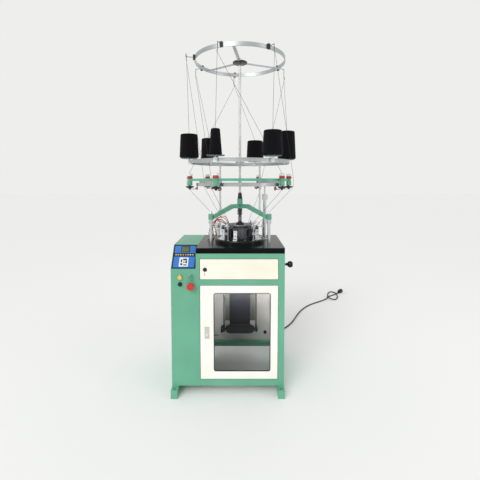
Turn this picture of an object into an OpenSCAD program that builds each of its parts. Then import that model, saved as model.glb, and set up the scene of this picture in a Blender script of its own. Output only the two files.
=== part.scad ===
// Small circular knitting machine for net tubing, on its own cabinet.
// Sizes are in millimetres. X runs to the right, Y to the back and Z up from the floor.
// Angles round the knitting axis start at the front and grow to the right.

/* [Cabinet] */
// Width of the cabinet over both bays
cab_w = 620; // [580:5:660]
// Depth of the cabinet, front to back
cab_d = 460; // [440:5:500]
// Height of the sheet body, from the foot rails to the tabletop
cab_h = 740; // [735:5:760]
// Wall of the folded sheet body
sheet = 2; // [1.5:0.5:3]
// Width of the console bay on the left
bay_w = 136; // [132:2:150]
// Distance from the cabinet's left side to the knitting axis
axis_in = 376; // [366:2:386]
// Height at which the console starts to slope back
slope_from = 705; // [690:5:720]
// Depth of the console's slope
slope_d = 105; // [95:5:115]
// Height of the welded foot plates above the floor
foot_h = 50; // [48:1:60]
// Width of a foot rail
rail_w = 36; // [32:2:44]
// How far a foot rail stands out in front of and behind the cabinet
toe_out = 42; // [40:2:60]
// Diameter of a floor bolt hole
floor_hole_d = 13; // [11:1:15]
// Thickness of the black tabletop
top_t = 30; // [24:2:36]

/* [Door and cover] */
// Width of the door and of the cover above it
door_w = 424; // [400:2:430]
// Height of the door
door_h = 524; // [500:2:530]
// Height of the door's lower edge above the foot plates
door_up = 39; // [36:1:45]
// Height of the cover above the door
cover_h = 110; // [100:2:120]
// Width of the band between the door and the cover
band_h = 36; // [32:1:40]
// Depth of the door and cover pans
pan_t = 16; // [14:1:18]
// Gap round the door and the cover
door_gap = 3; // [2.5:0.5:4]
// Width of the window
win_w = 312; // [280:2:320]
// Height of the window
win_h = 440; // [400:2:446]
// Corner radius of the window
win_r = 12; // [6:1:20]
// Thickness of the tinted window sheet
glass_t = 4; // [3:1:5]
// Diameter of the hinge pins
pin_d = 6; // [5:0.5:7]

/* [Controls] */
// Outer diameter of a push-button bezel
bezel_d = 29; // [27:0.5:32]
// Travel of the push-buttons
press = 4; // [2:0.5:5]
// Diameter of the emergency-stop mushroom
stop_d = 40; // [34:1:44]
// Diameter of the knob on the right side
knob_d = 36; // [30:1:40]

/* [Knitting head] */
// Outer diameter of the needle cylinder
cyl_d = 176; // [170:2:180]
// Height of the needle cylinder above its bed ring
cyl_h = 64; // [56:2:70]
// Number of needles
needles_n = 72; // [60:6:84]
// Outer diameter of the black bed ring
bed_d = 300; // [290:2:310]
// Height of the bed ring above the tabletop
bed_h = 22; // [18:1:26]
// Diameter of the dial inside the needles
dial_d = 148; // [130:2:152]
// Number of teeth on the cylinder gear
gear_n = 72; // [72:12:72]
// Number of teeth on the pinion
pinion_n = 30; // [30:10:30]
// Gear module
gear_m = 3; // [3:1:3]

/* [Bridge] */
// Radius from the knitting axis to the bridge columns
col_r = 193; // [186:1:200]
// Diameter of a bridge column
col_d = 17; // [15:1:20]
// Height from the tabletop to the column shoulders
col_h = 140; // [130:5:150]
// Height of the sleeves of the bridge casting
sleeve_h = 32; // [28:2:38]
// Rise of the bridge hub above its sleeves
hub_rise = 58; // [50:2:66]
// Radius from the knitting axis to the creel rods
rod_r = 133; // [126:1:140]
// Diameter of a creel rod
rod_d = 11; // [9:1:13]

/* [Take-down] */
// Width of the flattened net tube
net_w = 127; // [110:1:130]
// Diameter of the wound roll
roll_d = 54; // [46:1:60]
// Height of the winding roller above the floor
roll_z = 283; // [270:1:300]
// Spacing of the two hanging rods
hang_w = 197; // [195:1:199]

/* [Feeder frame and creel] */
// Corner radius of the hexagonal feeder frame
hex_r = 300; // [290:2:310]
// Height of the feeder frame's lower edge above the floor
hex_z = 1182; // [1170:2:1200]
// Height of the feeder frame's flat bar
hex_h = 14; // [12:1:18]
// Outer radius of the polished guide ring
guide_r = 262; // [250:2:264]
// Outer radius of the creel ring
creel_r = 294; // [286:2:300]
// Height of the creel ring's lower edge above the floor
creel_z = 1283; // [1270:2:1300]
// Height of the creel ring's flat bar
creel_h = 20; // [16:1:24]
// Height of the mast's tip above the floor
mast_top = 1903; // [1890:1:1930]
// Diameter of the mast
mast_d = 14; // [12:1:16]
// Outer radius of the top guide ring
top_r = 265; // [256:1:272]
// Height of the top ring's lower edge above the floor
top_z = 1873; // [1860:1:1875]

/* [Power cord] */
// Diameter of the power cord
cord_d = 10; // [8:1:12]

/* [Hidden] */
$fn = 48;

// Small clearances
run = 0.05;      // a running fit, on the radius
slip = 0.2;      // a loose fit, on the radius
air = 0.3;       // faces of different moving bodies
cut = 1;         // how far a cutting tool runs past its face

// The knitting axis stands a little right of the middle, so that the whole part is centred
head_x = 18;
cab_l = head_x - axis_in;
cab_r = cab_l + cab_w;
front = -cab_d / 2;
back = cab_d / 2;
cab_z = foot_h;
table_z = cab_z + cab_h;
bed_z = table_z + top_t;
wall_x = cab_l + bay_w;
slope_a = atan2(bed_z - slope_from, slope_d);
slope_len = norm([slope_d, bed_z - slope_from]);

// Door, cover and window
door_x = wall_x + 23;
door_z = cab_z + door_up;
cover_z = door_z + door_h + band_h;
return_d = pan_t + 6;
win_x = door_x + 73;
win_z = door_z + 43;
pivot_in = 5;
pivot = [door_x + door_w - pivot_in, front + pivot_in];
lug = 10;
lug_h = 14;

// Rear of the cabinet
sill_h = 45;
rear_edge = 30;
rear_t = 1.5;

// Controls on the console bay
btn_x = [cab_l + 50, cab_l + 110];
btn_z = [slope_from - 44, slope_from - 83];
stop_z = btn_z[1] - 6;
jog_d = 23;
barrel_d = 22;
barrel_l = 30;
bezel_t = 5;
bezel_lip = 1;
cap_t = 5;
stem_d = 14;
stop_reach = 30;
stop_travel = 5;
knob_z = table_z - 68;
knob_y = front + 40;
knob_out = 34;
shaft_d = 10;

// Knitting head
bed_top = bed_z + bed_h;
cyl_r = cyl_d / 2;
cyl_base = bed_top + air;
cyl_top = cyl_base + cyl_h;
flange_t = 6;
flange_r = cyl_r + 8;
journal_r = cyl_r - 8;
bore_r = journal_r - 8;
spigot_r = journal_r + 20;
spigot_z = table_z - 14;
trick_w = 1.6;
trick_d = 3.2;
needle_t = 1;
needle_up = 11;
gear_t = 16;
gear_z = spigot_z - 8 - gear_t;
gear_pr = gear_n * gear_m / 2;
pinion_pr = pinion_n * gear_m / 2;
gear_bore_r = bore_r - 6;
hanger_t = 8;
hanger_z = gear_z - hanger_t;
dial_r = dial_d / 2;
dial_z = cyl_top + 5;
dial_t = 12;
dial_hub_h = 14;
spindle_d = 16;
coupling_d = 20;
coupling_h = 31;
nut_d = 27;
nut_h = 16;
cam_gap = 2;
cam_t = 13;
cam_h = 42;
cam_z = cyl_base + 12;
cam_span = 34;
bracket_at = [-47, 47, 133, -133];
bracket_r = bed_d / 2 - 12;
bracket_w = 26;
bracket_h = 62;
bracket_t = 6;
small_bracket_at = -12;
feeder_at = [-72, -30, 34, 84, 150, -113];
feeder_r = bed_d / 2 - 13;
feeder_z = cyl_top + 6;
feeder_eye_r = cyl_r + 4;
eye_t = 3;
feed_eye_r = 1.6;

// Drive under the tabletop
shaft_at = -67;                     // angle of the pinion shaft is measured from the back, to the left
pinion_r = gear_pr + pinion_pr;
shaft_x = head_x - pinion_r * cos(90 + shaft_at);
shaft_y = pinion_r * sin(90 + shaft_at);
pinion_shaft_d = 15;
pulley_r = 30;
small_pulley_r = 20;
belt_t = 3;
belt_w = 14;
flange_out = 4;
lower_bearing_z = gear_z - 24;
pulley_z = lower_bearing_z - 30;
pulley_h = 20;
motor_x = cab_l + bay_w / 2;
motor_y = shaft_y;
motor_top = pulley_z - 12;
motor_r = 54;
motor_h = 160;
shelf_t = 4;

// Bridge
arm_at = [60, 180, -60];
sleeve_r = 15;
collar_r = 13;
collar_h = 25;
sleeve_z = bed_z + col_h;
hub_z = sleeve_z + hub_rise;
hub_r = 18;
hub_h = 30;
boss_r = 16;
boss_h = 28;
arm_w = 22;
arm_t = 24;
arm_flat_r = 56;
seat_h = 8;
arm_r0 = col_r - sleeve_r + 2;
arm_slope = (hub_z + hub_h - 4 - (sleeve_z + sleeve_h - 8)) / (arm_r0 - arm_flat_r);
seat_z = sleeve_z + sleeve_h - 8 + (arm_r0 - rod_r) * arm_slope + 5;
cap_h = 37;

// Take-down
net_y = 4;
net_half = 2.6;
roll_y = net_y - net_half - roll_d / 2 - air;
rod4 = 4;
back_plate_w = 186;
back_plate_y = 30;
block_w = 12;
roller_d = 16;
net_z = roll_z - 3;
roll_len = 172;
winder_gear_n = 20;
star_gear_n = 14;
winder_m = 2;
star_dist = (winder_gear_n + star_gear_n) * winder_m / 2;
star_tilt = 30;
star_y = roll_y + star_dist * cos(star_tilt);
star_z = roll_z - star_dist * sin(star_tilt);
side_gear_t = 6;
star_r = 21;

// Feeder frame, guide ring and creel
hex_turn = -25;
hex_bar = 6;
inner_r = guide_r + 19;
station = [[-85, hex_r], [-25, hex_r], [57, inner_r], [95, hex_r], [155, hex_r], [-131, inner_r]];
station_boss_r = 15;
station_boss_h = 26;
unit_r = 15.5;
unit_h = 30;
disc_r = 24;
disc_h = 24;
eye_out = 28;
wire_turn = [-50, -30, 90, -10, -30, 70];
ring_eye_r = 4;
ring_wire_r = 1.2;
arm_in = 44;
brake_knob_r = 11.5;
guide_h = 18;
guide_t = 5;
guide_z = hex_z - 11 - guide_h;
collar_out = 10;
post_at = 109;
post_r = bed_d / 2 + 11.5;
creel_t = 5;
cone_at = [-84, -25, 35, 105, 160, -138];
cone_r = 300;
cone_dims = [[56, 50, 139], [34, 24, 137], [55, 48, 132], [56, 48, 172], [58, 52, 137], [57, 52, 145]];
saucer_r = 50;
saucer_t = 4;
saucer_z = creel_z + creel_h + 10;
cone_z = saucer_z + saucer_t;
top_h = 22;
top_t5 = 5;
top_turn = -7;
spoke_w = 17;
spoke_t = 5;
top_hub_r = 42;
guide_at = [-76, -21, 34, 118, 187.5, -117.5];
eye_r = 314;
eye_dz = [26, -33, -24, -43, -46, -36];
yarn_r = 0.8;
wire_r = 1.5;
eye_in = 3.7;
side = [for (k = [0:5]) sign(cone_at[k] - guide_at[k])];

// Power cord: points chosen by hand along its route over the floor
gland_x = 190;
gland_z = 150;
gland_l = 32;
lie = cord_d / 2;
cord_pts = [
    [gland_x, back + rear_t + gland_l, gland_z], [190, 305, 147], [193, 350, 120], [200, 390, 72],
    [211, 428, 26], [230, 468, 7], [262, 510, lie], [312, 562, lie], [374, 617, lie], [440, 712, lie],
    [492, 822, lie], [540, 932, lie], [588, 1018, lie], [642, 1094, lie], [706, 1160, lie], [775, 1216, lie],
    [845, 1270, lie], [893, 1322, lie], [920, 1400, lie], [945, 1480, lie], [986, 1528, lie],
    [1022, 1492, lie], [1016, 1414, 17], [1004, 1346, lie], [968, 1290, lie], [916, 1284, 17],
    [908, 1340, 17], [950, 1398, lie], [1006, 1444, lie], [1050, 1484, lie]];
plug_dir = 42;

module on_axis() { translate([head_x, 0, 0]) children(); }
module around(angles) { for (a = angles) rotate([0, 0, a]) children(); }
module tube(r_out, r_in, h) {
    difference() {
        cylinder(r = r_out, h = h);
        translate([0, 0, -cut]) cylinder(r = r_in, h = h + 2 * cut);
    }
}
module rounded_rect(w, h, r) {
    translate([r, 0]) square([w - 2 * r, h]);
    translate([0, r]) square([w, h - 2 * r]);
    for (x = [r, w - r], y = [r, h - r]) translate([x, y]) circle(r);
}
// Upright plate in the X-Z plane, its front face at y
module front_plate(x, z, w, h, r, y, t) {
    translate([x, y + t, z]) rotate([90, 0, 0]) linear_extrude(t) rounded_rect(w, h, r);
}
// Places what is drawn lying on the console's slope, with Y running up the slope
module on_slope() { translate([cab_l, front, slope_from]) rotate([slope_a, 0, 0]) children(); }
// Points the local Z axis to the front or to the right
module face_front(x, z, y) { translate([x, y, z]) rotate([90, 0, 0]) children(); }
module face_right(x, y, z) { translate([x, y, z]) rotate([0, 90, 0]) children(); }

module foot_rails() {
    color("mediumseagreen")
    for (x = [cab_l, cab_r - rail_w]) difference() {
        union() {
            translate([x, front - toe_out, 0]) cube([rail_w, cab_d + 2 * toe_out, foot_h - 5]);
            translate([x, front, foot_h - 5]) cube([rail_w, cab_d, 5]);
        }
        translate([x + 3, front - toe_out + 3, 4]) cube([rail_w - 6, cab_d + 2 * toe_out - 6, foot_h - 13]);
        for (y = [front - toe_out / 2, back + toe_out / 2])
            translate([x + rail_w / 2, y, -cut]) cylinder(d = floor_hole_d, h = foot_h);
    }
}

// Outline of the console bay seen from the side, shrunk by t on every side
function bay_outline(t) = let (
        s = t * (1 - sin(slope_a)) / cos(slope_a),
        u = (bed_z - t - slope_from + t * cos(slope_a)) / sin(slope_a))
    [[front + t, cab_z + t], [front + t, slope_from - t * cos(slope_a) + s * sin(slope_a)],
     [front + t * sin(slope_a) + u * cos(slope_a), bed_z - t], [back - t, bed_z - t], [back - t, cab_z + t]];
module bay_block(x, w, t) {
    translate([x, 0, 0]) rotate([90, 0, 90]) linear_extrude(w) polygon(bay_outline(t));
}
module opening_frame(z, h) {
    g = door_gap;
    difference() {
        translate([door_x - g - sheet, front, z - g - sheet])
            cube([door_w + 2 * (g + sheet), return_d, h + 2 * (g + sheet)]);
        translate([door_x - g, front - cut, z - g]) cube([door_w + 2 * g, return_d + 2 * cut, h + 2 * g]);
    }
}
module cabinet_shell() {
    right_w = cab_r - wall_x;
    g = door_gap;
    color("mediumseagreen")
    difference() {
        union() {
            difference() {
                bay_block(cab_l, bay_w + sheet, 0);
                bay_block(cab_l + sheet, bay_w - sheet, sheet);
            }
            difference() {
                translate([wall_x, front, cab_z]) cube([right_w, cab_d, cab_h]);
                translate([wall_x + sheet, front + sheet, cab_z - cut])
                    cube([right_w - 2 * sheet, cab_d - 2 * sheet, cab_h - sheet + cut]);
            }
            for (o = [[door_z, door_h], [cover_z, cover_h]]) opening_frame(o[0], o[1]);
            // Floor flanges of the open right bay, and the rear sill's top flange
            translate([wall_x, front, cab_z]) cube([right_w, rear_edge, sheet]);
            translate([wall_x, back - rear_edge, cab_z + sill_h - sheet]) cube([right_w, rear_edge, sheet]);
            translate([cab_l, motor_y - 90, motor_top]) cube([bay_w + sheet, 180, shelf_t]);
            // Fixed tappet that kicks the star wheel once in each turn
            translate([wall_x, star_y - 3, star_z - 38]) cube([head_x - hang_w / 2 - 34 - wall_x, 6, 16]);
        }
        for (o = [[door_z, door_h], [cover_z, cover_h]])
            translate([door_x - g, front - cut, o[0] - g]) cube([door_w + 2 * g, sheet + 2 * cut, o[1] + 2 * g]);
        // Holes for the hinge pins in the frames' flanges
        translate([pivot[0], pivot[1], cab_z + sheet + cut]) cylinder(d = pin_d + 4 * slip, h = cab_h - 2 * sheet - 2 * cut);
        // Large opening under the tabletop, and the rear opening behind the rear panel
        translate([wall_x + rear_edge, front + 40, table_z - sheet - cut])
            cube([right_w - 2 * rear_edge, cab_d - 40 - rear_edge, sheet + 2 * cut]);
        translate([cab_l + rear_edge, back - sheet - cut, cab_z + sill_h])
            cube([cab_w - 2 * rear_edge, sheet + 2 * cut, cab_h - sill_h - rear_edge]);
        // Slot for the belt through the partition
        translate([wall_x - cut, shaft_y - 45, pulley_z - 6]) cube([sheet + 2 * cut, 90, pulley_h + 12]);
        translate([motor_x, motor_y, motor_top - cut]) cylinder(r = 24, h = shelf_t + 2 * cut);
        on_slope() translate([16, 16, -sheet - cut]) cube([bay_w - 32, slope_len - 34, sheet + 2 * cut]);
        for (x = btn_x) face_front(x, btn_z[0], front + sheet + cut) cylinder(d = barrel_d + 2 * slip, h = sheet + 2 * cut);
        face_front(btn_x[0], btn_z[1], front + sheet + cut) cylinder(d = barrel_d + 2 * slip, h = sheet + 2 * cut);
        face_front(btn_x[1], stop_z, front + sheet + cut) cylinder(d = barrel_d + 2 * slip, h = sheet + 2 * cut);
        face_right(cab_r - sheet - cut, knob_y, knob_z) cylinder(d = shaft_d + 10 + 2 * slip, h = sheet + 2 * cut);
    }
}
module rear_panel() {
    color("gainsboro")
    difference() {
        translate([cab_l + rear_edge / 2, back, cab_z + sill_h - 20])
            cube([cab_w - rear_edge, rear_t, cab_h - sill_h - rear_edge + 36]);
        for (k = [0:7]) translate([cab_l + 40, back - cut, cab_z + 420 + k * 16]) cube([70, rear_t + 2 * cut, 5]);
        translate([gland_x, back + rear_t + cut, gland_z]) rotate([90, 0, 0]) cylinder(d = 16 + 2 * slip, h = rear_t + 2 * cut);
    }
}
module tabletop() {
    x0 = wall_x + sheet + air;
    color("#26262a")
    difference() {
        translate([x0, front, table_z]) linear_extrude(top_t) rounded_rect(cab_r - x0, cab_d, 4);
        on_axis() {
            translate([0, 0, table_z - cut]) cylinder(r = spigot_r + slip, h = top_t + 2 * cut);
            around(arm_at) translate([0, -col_r, table_z - cut]) cylinder(d = col_d - 5 + 2 * slip, h = top_t + 2 * cut);
            around([post_at]) translate([0, -post_r, table_z - cut]) cylinder(d = 10 + 2 * slip, h = top_t + 2 * cut);
        }
    }
}
module console_panel() {
    color("#1769c8") on_slope() translate([3, 2, 0]) difference() {
        cube([bay_w - 6, slope_len - 5, 3]);
        translate([46, 106, 1.5]) cube([46, 33, 3]);
    }
}
module console_display() {
    color("darkolivegreen") on_slope() translate([49, 108, 1.5]) cube([46, 33, 2.2]);
}

// Pan of folded sheet with a lug at each hinge corner
module pan(z, h, win) {
    difference() {
        union() {
            difference() {
                front_plate(door_x, z, door_w, h, 2, front, pan_t);
                front_plate(door_x + sheet, z + sheet, door_w - 2 * sheet, h - 2 * sheet, 1, front + sheet, pan_t);
            }
            for (lz = [z, z + h - lug_h]) translate([door_x + door_w - lug, front, lz]) cube([lug, lug, lug_h]);
        }
        if (win) front_plate(win_x, win_z, win_w, win_h, win_r, front - cut, sheet + 2 * cut);
        translate([pivot[0], pivot[1], z - cut]) cylinder(d = pin_d + 2 * run, h = h + 2 * cut);
    }
}
latch_x = door_x + 23;
latch_z = door_z + 228;
latch_w = 26;
latch_h = 67;
key_z = latch_z + 21;
module latch_cutout(grow, y, t) {
    front_plate(latch_x + 2 - grow, latch_z + 3 - grow, latch_w - 4 + 2 * grow, latch_h - 6 + 2 * grow, 2, y, t);
}
module door_frame() {
    color("ivory") difference() {
        pan(door_z, door_h, true);
        latch_cutout(slip, front - cut, sheet + 2 * cut);
    }
}
module door_glass() {
    color([0.35, 0.38, 0.4, 0.45])
    front_plate(win_x - 10, win_z - 10, win_w + 20, win_h + 20, win_r, front + sheet, glass_t);
}
module latch_housing() {
    color("silver") difference() {
        union() {
            front_plate(latch_x, latch_z, latch_w, latch_h, 3, front - 2, 2);
            latch_cutout(0, front, 13);
            face_front(latch_x + latch_w / 2, key_z - 6, front - 2) cylinder(d = 12, h = 1.5);
        }
        front_plate(latch_x + 4, latch_z + 30, latch_w - 8, latch_h - 33, 1, front - 2 - cut, 12 + cut);
        face_right(latch_x + 2.4, front + 1, latch_z + latch_h - 7.5) cylinder(r = 2 + run, h = latch_w - 4.8);
        translate([latch_x + latch_w / 2 - 0.8, front - 5, key_z - 9]) cube([1.6, 3, 6]);
    }
}
module latch_handle() {
    color("gray") {
        front_plate(latch_x + 4.4, latch_z + 31, latch_w - 8.8, latch_h - 35.4, 1, front - 1.8, 4);
        face_right(latch_x + 2.6, front + 1, latch_z + latch_h - 7.5) cylinder(r = 2, h = latch_w - 5.2);
    }
}
module upper_cover() {
    color("ivory") difference() {
        pan(cover_z, cover_h, false);
        face_front(door_x + 27, cover_z + 53, front + sheet + cut) cylinder(r = 9 + slip, h = sheet + 2 * cut);
        front_plate(door_x + 21, cover_z + 17, 7, 16, 1, front - cut, sheet + 2 * cut);
    }
}
module cover_lock() {
    color("#111111") {
        face_front(door_x + 27, cover_z + 53, front) cylinder(r = 11, h = 3);
        face_front(door_x + 27, cover_z + 53, front + return_d + 4) cylinder(r = 9, h = return_d + 4);
        translate([door_x + 21, front + return_d + 1, cover_z + 53]) cube([12, 3, 40]);
    }
}
module hinge_pins() {
    g = door_gap + sheet;
    depth = 9;
    color("dimgray") for (o = [[door_z, door_h], [cover_z, cover_h]]) translate([pivot[0], pivot[1], 0]) {
        translate([-6, -pivot_in + sheet, o[0] - g - 10]) cube([11, 14, 10]);
        translate([0, 0, o[0] - g - 1]) cylinder(d = pin_d, h = g + 1 + depth);
        translate([-6, -pivot_in + sheet, o[0] + o[1] + g]) cube([11, 14, 10]);
        translate([0, 0, o[0] + o[1] - depth]) cylinder(d = pin_d, h = g + 1 + depth);
    }
}

// Bezel ring in front of the panel with its barrel behind, bored for the button's stem
module bezel(x, z, d) {
    face_front(x, z, front + barrel_l) difference() {
        union() {
            cylinder(d = barrel_d, h = barrel_l);
            translate([0, 0, barrel_l]) cylinder(d = d, h = bezel_t);
        }
        translate([0, 0, barrel_l + bezel_lip]) cylinder(d = d - 5, h = bezel_t + cut);
        translate([0, 0, -cut]) cylinder(d = stem_d + 2 * run, h = barrel_l + 2 * cut);
    }
}
module button_bezels() {
    color("silver") {
        for (x = btn_x) bezel(x, btn_z[0], bezel_d);
        bezel(btn_x[0], btn_z[1], jog_d);
        bezel(btn_x[1], stop_z, bezel_d);
    }
}
// Cap with its stem; pressed in, it stops just short of the bezel's lip
module push_button(x, z, d) {
    face_front(x, z, front - bezel_lip - air) {
        translate([0, 0, press]) cylinder(d = d - 5 - 2 * air, h = cap_t);
        translate([0, 0, -18]) cylinder(d = stem_d, h = 18 + press + cut);
    }
}
module start_button() { color("mediumspringgreen") push_button(btn_x[1], btn_z[0], bezel_d); }
module reset_button() { color("khaki") push_button(btn_x[0], btn_z[0], bezel_d); }
module jog_button() { color("#151515") push_button(btn_x[0], btn_z[1], jog_d); }
module estop_stem() {
    color("dimgray") face_front(btn_x[1], stop_z, front) {
        translate([0, 0, -20]) cylinder(d = stem_d, h = 20 + stop_reach - 6);
        translate([0, 0, bezel_t + stop_travel + 1]) cylinder(d = 20, h = 6);
    }
}
module estop_head() {
    color("crimson") face_front(btn_x[1], stop_z, front - bezel_t - stop_travel - 7) difference() {
        rotate_extrude() {
            square([stop_d / 2 - 3, stop_reach - 12]);
            square([stop_d / 2, stop_reach - 15]);
            translate([stop_d / 2 - 3, stop_reach - 15]) circle(3);
        }
        translate([0, 0, -cut]) cylinder(d = stem_d + 2 * run, h = stop_reach - 18 + cut);
    }
}
module side_knob() {
    color("#141414") face_right(cab_r, knob_y, knob_z) {
        translate([0, 0, -40]) cylinder(d = shaft_d, h = 40 + knob_out);
        translate([0, 0, -40]) cylinder(d = shaft_d + 8, h = 8);
        translate([0, 0, 10]) cylinder(r1 = 7, r2 = 9, h = 14);
        intersection() {
            translate([0, 0, knob_out]) sphere(d = knob_d);
            translate([0, 0, knob_out - 13]) cylinder(d = knob_d, h = 26);
        }
    }
}

module motor() {
    color("slategray") translate([motor_x, motor_y, motor_top - motor_h]) difference() {
        union() {
            cylinder(r = motor_r - 6, h = motor_h);
            for (k = [0:8]) translate([0, 0, 26 + k * 12]) cylinder(r = motor_r, h = 6);
            cylinder(r = motor_r - 2, h = 18);
            translate([0, 0, motor_h - 10]) cylinder(r = motor_r + 4, h = 10);
            translate([-20, -motor_r - 22, 50]) cube([40, 34, 60]);
        }
        translate([0, 0, motor_h - 50]) cylinder(r = 7 + run, h = 50 + cut);
    }
}
module pulley(r, bore) {
    difference() {
        rotate_extrude() polygon([[0, 0], [r + flange_out, 0], [r + flange_out, 2], [r, 3], [r, pulley_h - 3],
            [r + flange_out, pulley_h - 2], [r + flange_out, pulley_h], [0, pulley_h]]);
        if (bore > 0) translate([0, 0, -cut]) cylinder(r = bore, h = pulley_h + 2 * cut);
    }
}
module motor_pulley() {
    color("lightsteelblue") translate([motor_x, motor_y, pulley_z]) {
        pulley(small_pulley_r, 0);
        translate([0, 0, motor_top - 45 - pulley_z]) cylinder(r = 7, h = pulley_z - motor_top + 46);
    }
}
// Closed belt outline over a large pulley at the origin and a small one at distance d along X
function belt_outline(r1, r2, d) = let (a = acos((r1 - r2) / d), n = 24) concat(
    [for (k = [0:n]) let (b = a + (360 - 2 * a) * k / n) r1 * [cos(b), sin(b)]],
    [for (k = [0:n]) let (b = -a + 2 * a * k / n) [d, 0] + r2 * [cos(b), sin(b)]]);
module drive_belt() {
    span = shaft_x - motor_x;
    r1 = pulley_r + air;
    r2 = small_pulley_r + air;
    color("#1c1c1c") translate([shaft_x, shaft_y, pulley_z + (pulley_h - belt_w) / 2 + air]) rotate([0, 0, 180])
    linear_extrude(belt_w - 2 * air) difference() {
        polygon(belt_outline(r1 + belt_t, r2 + belt_t, span));
        polygon(belt_outline(r1, r2, span));
    }
}
// Spur gear with straight-flanked teeth, thinned a little for running clearance
module spur_gear(n, m, h, bore) {
    pr = n * m / 2;
    root = pr - 1.25 * m;
    tip = pr + 0.85 * m;
    difference() {
        union() {
            cylinder(r = root + 0.01, h = h);
            for (k = [0:n - 1]) rotate([0, 0, k * 360 / n]) linear_extrude(h)
                polygon([[root - 1, -0.98 * m], [root, -0.98 * m], [pr, -0.7 * m], [tip, -0.36 * m],
                    [tip, 0.36 * m], [pr, 0.7 * m], [root, 0.98 * m], [root - 1, 0.98 * m]]);
        }
        translate([0, 0, -cut]) cylinder(r = bore, h = h + 2 * cut);
    }
}
module cylinder_gear() {
    color("gray") on_axis() translate([0, 0, gear_z]) spur_gear(gear_n, gear_m, gear_t, gear_bore_r);
}
// Direction from the cylinder to the pinion shaft, as an angle from +X
mesh_a = atan2(shaft_y, shaft_x - head_x);
// The gear's tooth phase along that direction sets the pinion's, half a tooth on
gear_phase = mesh_a * gear_n / 360;
pinion_turn = mesh_a + 180 + (gear_phase - floor(gear_phase) + 0.5) * 360 / pinion_n;
module pinion_shaft() {
    color("lightgray") translate([shaft_x, shaft_y, 0]) {
        translate([0, 0, pulley_z - 6]) cylinder(d = pinion_shaft_d, h = table_z - 2 - pulley_z + 6);
        translate([0, 0, gear_z + 1]) rotate([0, 0, pinion_turn])
            spur_gear(pinion_n, gear_m, gear_t + 1, pinion_shaft_d / 2 - 1);
    }
}
module drive_pulley() {
    color("lightsteelblue") translate([shaft_x, shaft_y, pulley_z]) pulley(pulley_r, pinion_shaft_d / 2 + run);
}
module shaft_bearings() {
    bore = pinion_shaft_d / 2 + run;
    color("steelblue") {
        translate([shaft_x, shaft_y, spigot_z]) tube(26, bore, table_z - spigot_z);
        difference() {
            union() {
                translate([shaft_x, shaft_y, lower_bearing_z]) cylinder(r = 19, h = 14);
                translate([wall_x + sheet, shaft_y - 19, lower_bearing_z + 3]) cube([shaft_x - wall_x - sheet, 38, 8]);
                translate([wall_x + sheet, shaft_y - 19, lower_bearing_z - 3]) cube([6, 38, 26]);
            }
            translate([shaft_x, shaft_y, lower_bearing_z - 4]) cylinder(r = bore, h = 24);
        }
        face_right(cab_r - 8, knob_y, knob_z) difference() {
            union() {
                cylinder(d = shaft_d + 10, h = 14);
                translate([0, 0, 8]) cylinder(d = shaft_d + 16, h = 2);
            }
            translate([0, 0, -cut]) cylinder(d = shaft_d + 2 * run, h = 14 + 2 * cut);
        }
    }
}

module bed_ring() {
    r = bed_d / 2;
    e = 7;
    color("#1d1e20") on_axis() rotate_extrude() difference() {
        union() {
            translate([journal_r + run, bed_z]) square([r - e - journal_r - run, bed_h]);
            translate([journal_r + run, bed_z]) square([r - journal_r - run, bed_h - e]);
            translate([r - e, bed_top - e]) circle(e);
            translate([journal_r + run, spigot_z]) square([spigot_r - journal_r - run, bed_z - spigot_z]);
        }
        translate([r - 1.5, bed_z + 5]) square([3, 1.5]);
    }
}
module needle_cylinder() {
    color("#4a4c4f") on_axis() difference() {
        rotate_extrude() {
            translate([bore_r, cyl_base]) square([cyl_r - bore_r, cyl_h]);
            translate([bore_r, cyl_base]) square([flange_r - bore_r, flange_t]);
            translate([bore_r, gear_z + gear_t]) square([journal_r - bore_r, cyl_base - gear_z - gear_t]);
        }
        for (k = [0:needles_n - 1]) rotate([0, 0, k * 360 / needles_n])
            translate([cyl_r - trick_d, -trick_w / 2, cyl_base + flange_t + 2]) cube([trick_d + cut, trick_w, cyl_h]);
    }
}
// Latch needle: stem in its trick, butt at the side and hook at the top
module needle_blank() {
    w = trick_d - 0.6;
    x = cyl_r - trick_d + 0.2;
    translate([x, -needle_t / 2, cyl_base + flange_t + 3]) cube([w, needle_t, cyl_h + needle_up - flange_t - 8]);
    translate([x + 0.8, -needle_t / 2, cyl_top + needle_up - 5]) cube([1.2, needle_t, 6]);
    translate([x + 0.8, -needle_t / 2, cyl_top + needle_up]) cube([3, needle_t, 1.2]);
}
module needles() {
    color("silver") on_axis() for (k = [0:needles_n - 1]) rotate([0, 0, k * 360 / needles_n]) needle_blank();
}
module dial() {
    color("#303235") on_axis() difference() {
        rotate_extrude() {
            translate([0, dial_z]) square([dial_r - 3, dial_t]);
            translate([0, dial_z]) square([dial_r, dial_t - 3]);
            translate([dial_r - 3, dial_z + dial_t - 3]) circle(3);
            translate([0, dial_z + dial_t]) square([24, dial_hub_h - 6]);
            translate([0, dial_z + dial_t]) square([15, dial_hub_h]);
        }
        translate([0, 0, dial_z - cut]) cylinder(d = spindle_d + 2 * run, h = 2 * dial_t + dial_hub_h);
        for (k = [0:7]) rotate([0, 0, 22.5 + k * 45]) translate([46, 0, dial_z - cut]) cylinder(r = 6, h = dial_t + 2 * cut);
    }
}
module dial_spindle() {
    z0 = dial_z + 2;
    hub_end = hub_z + 16;
    color("lightgray") on_axis() {
        translate([0, 0, z0]) cylinder(d = spindle_d, h = hub_end - z0);
        translate([0, 0, dial_z + dial_t + dial_hub_h]) cylinder(d = coupling_d, h = coupling_h);
        translate([0, 0, hub_z - nut_h]) cylinder(d = nut_d, h = nut_h, $fn = 6);
    }
}
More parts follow.
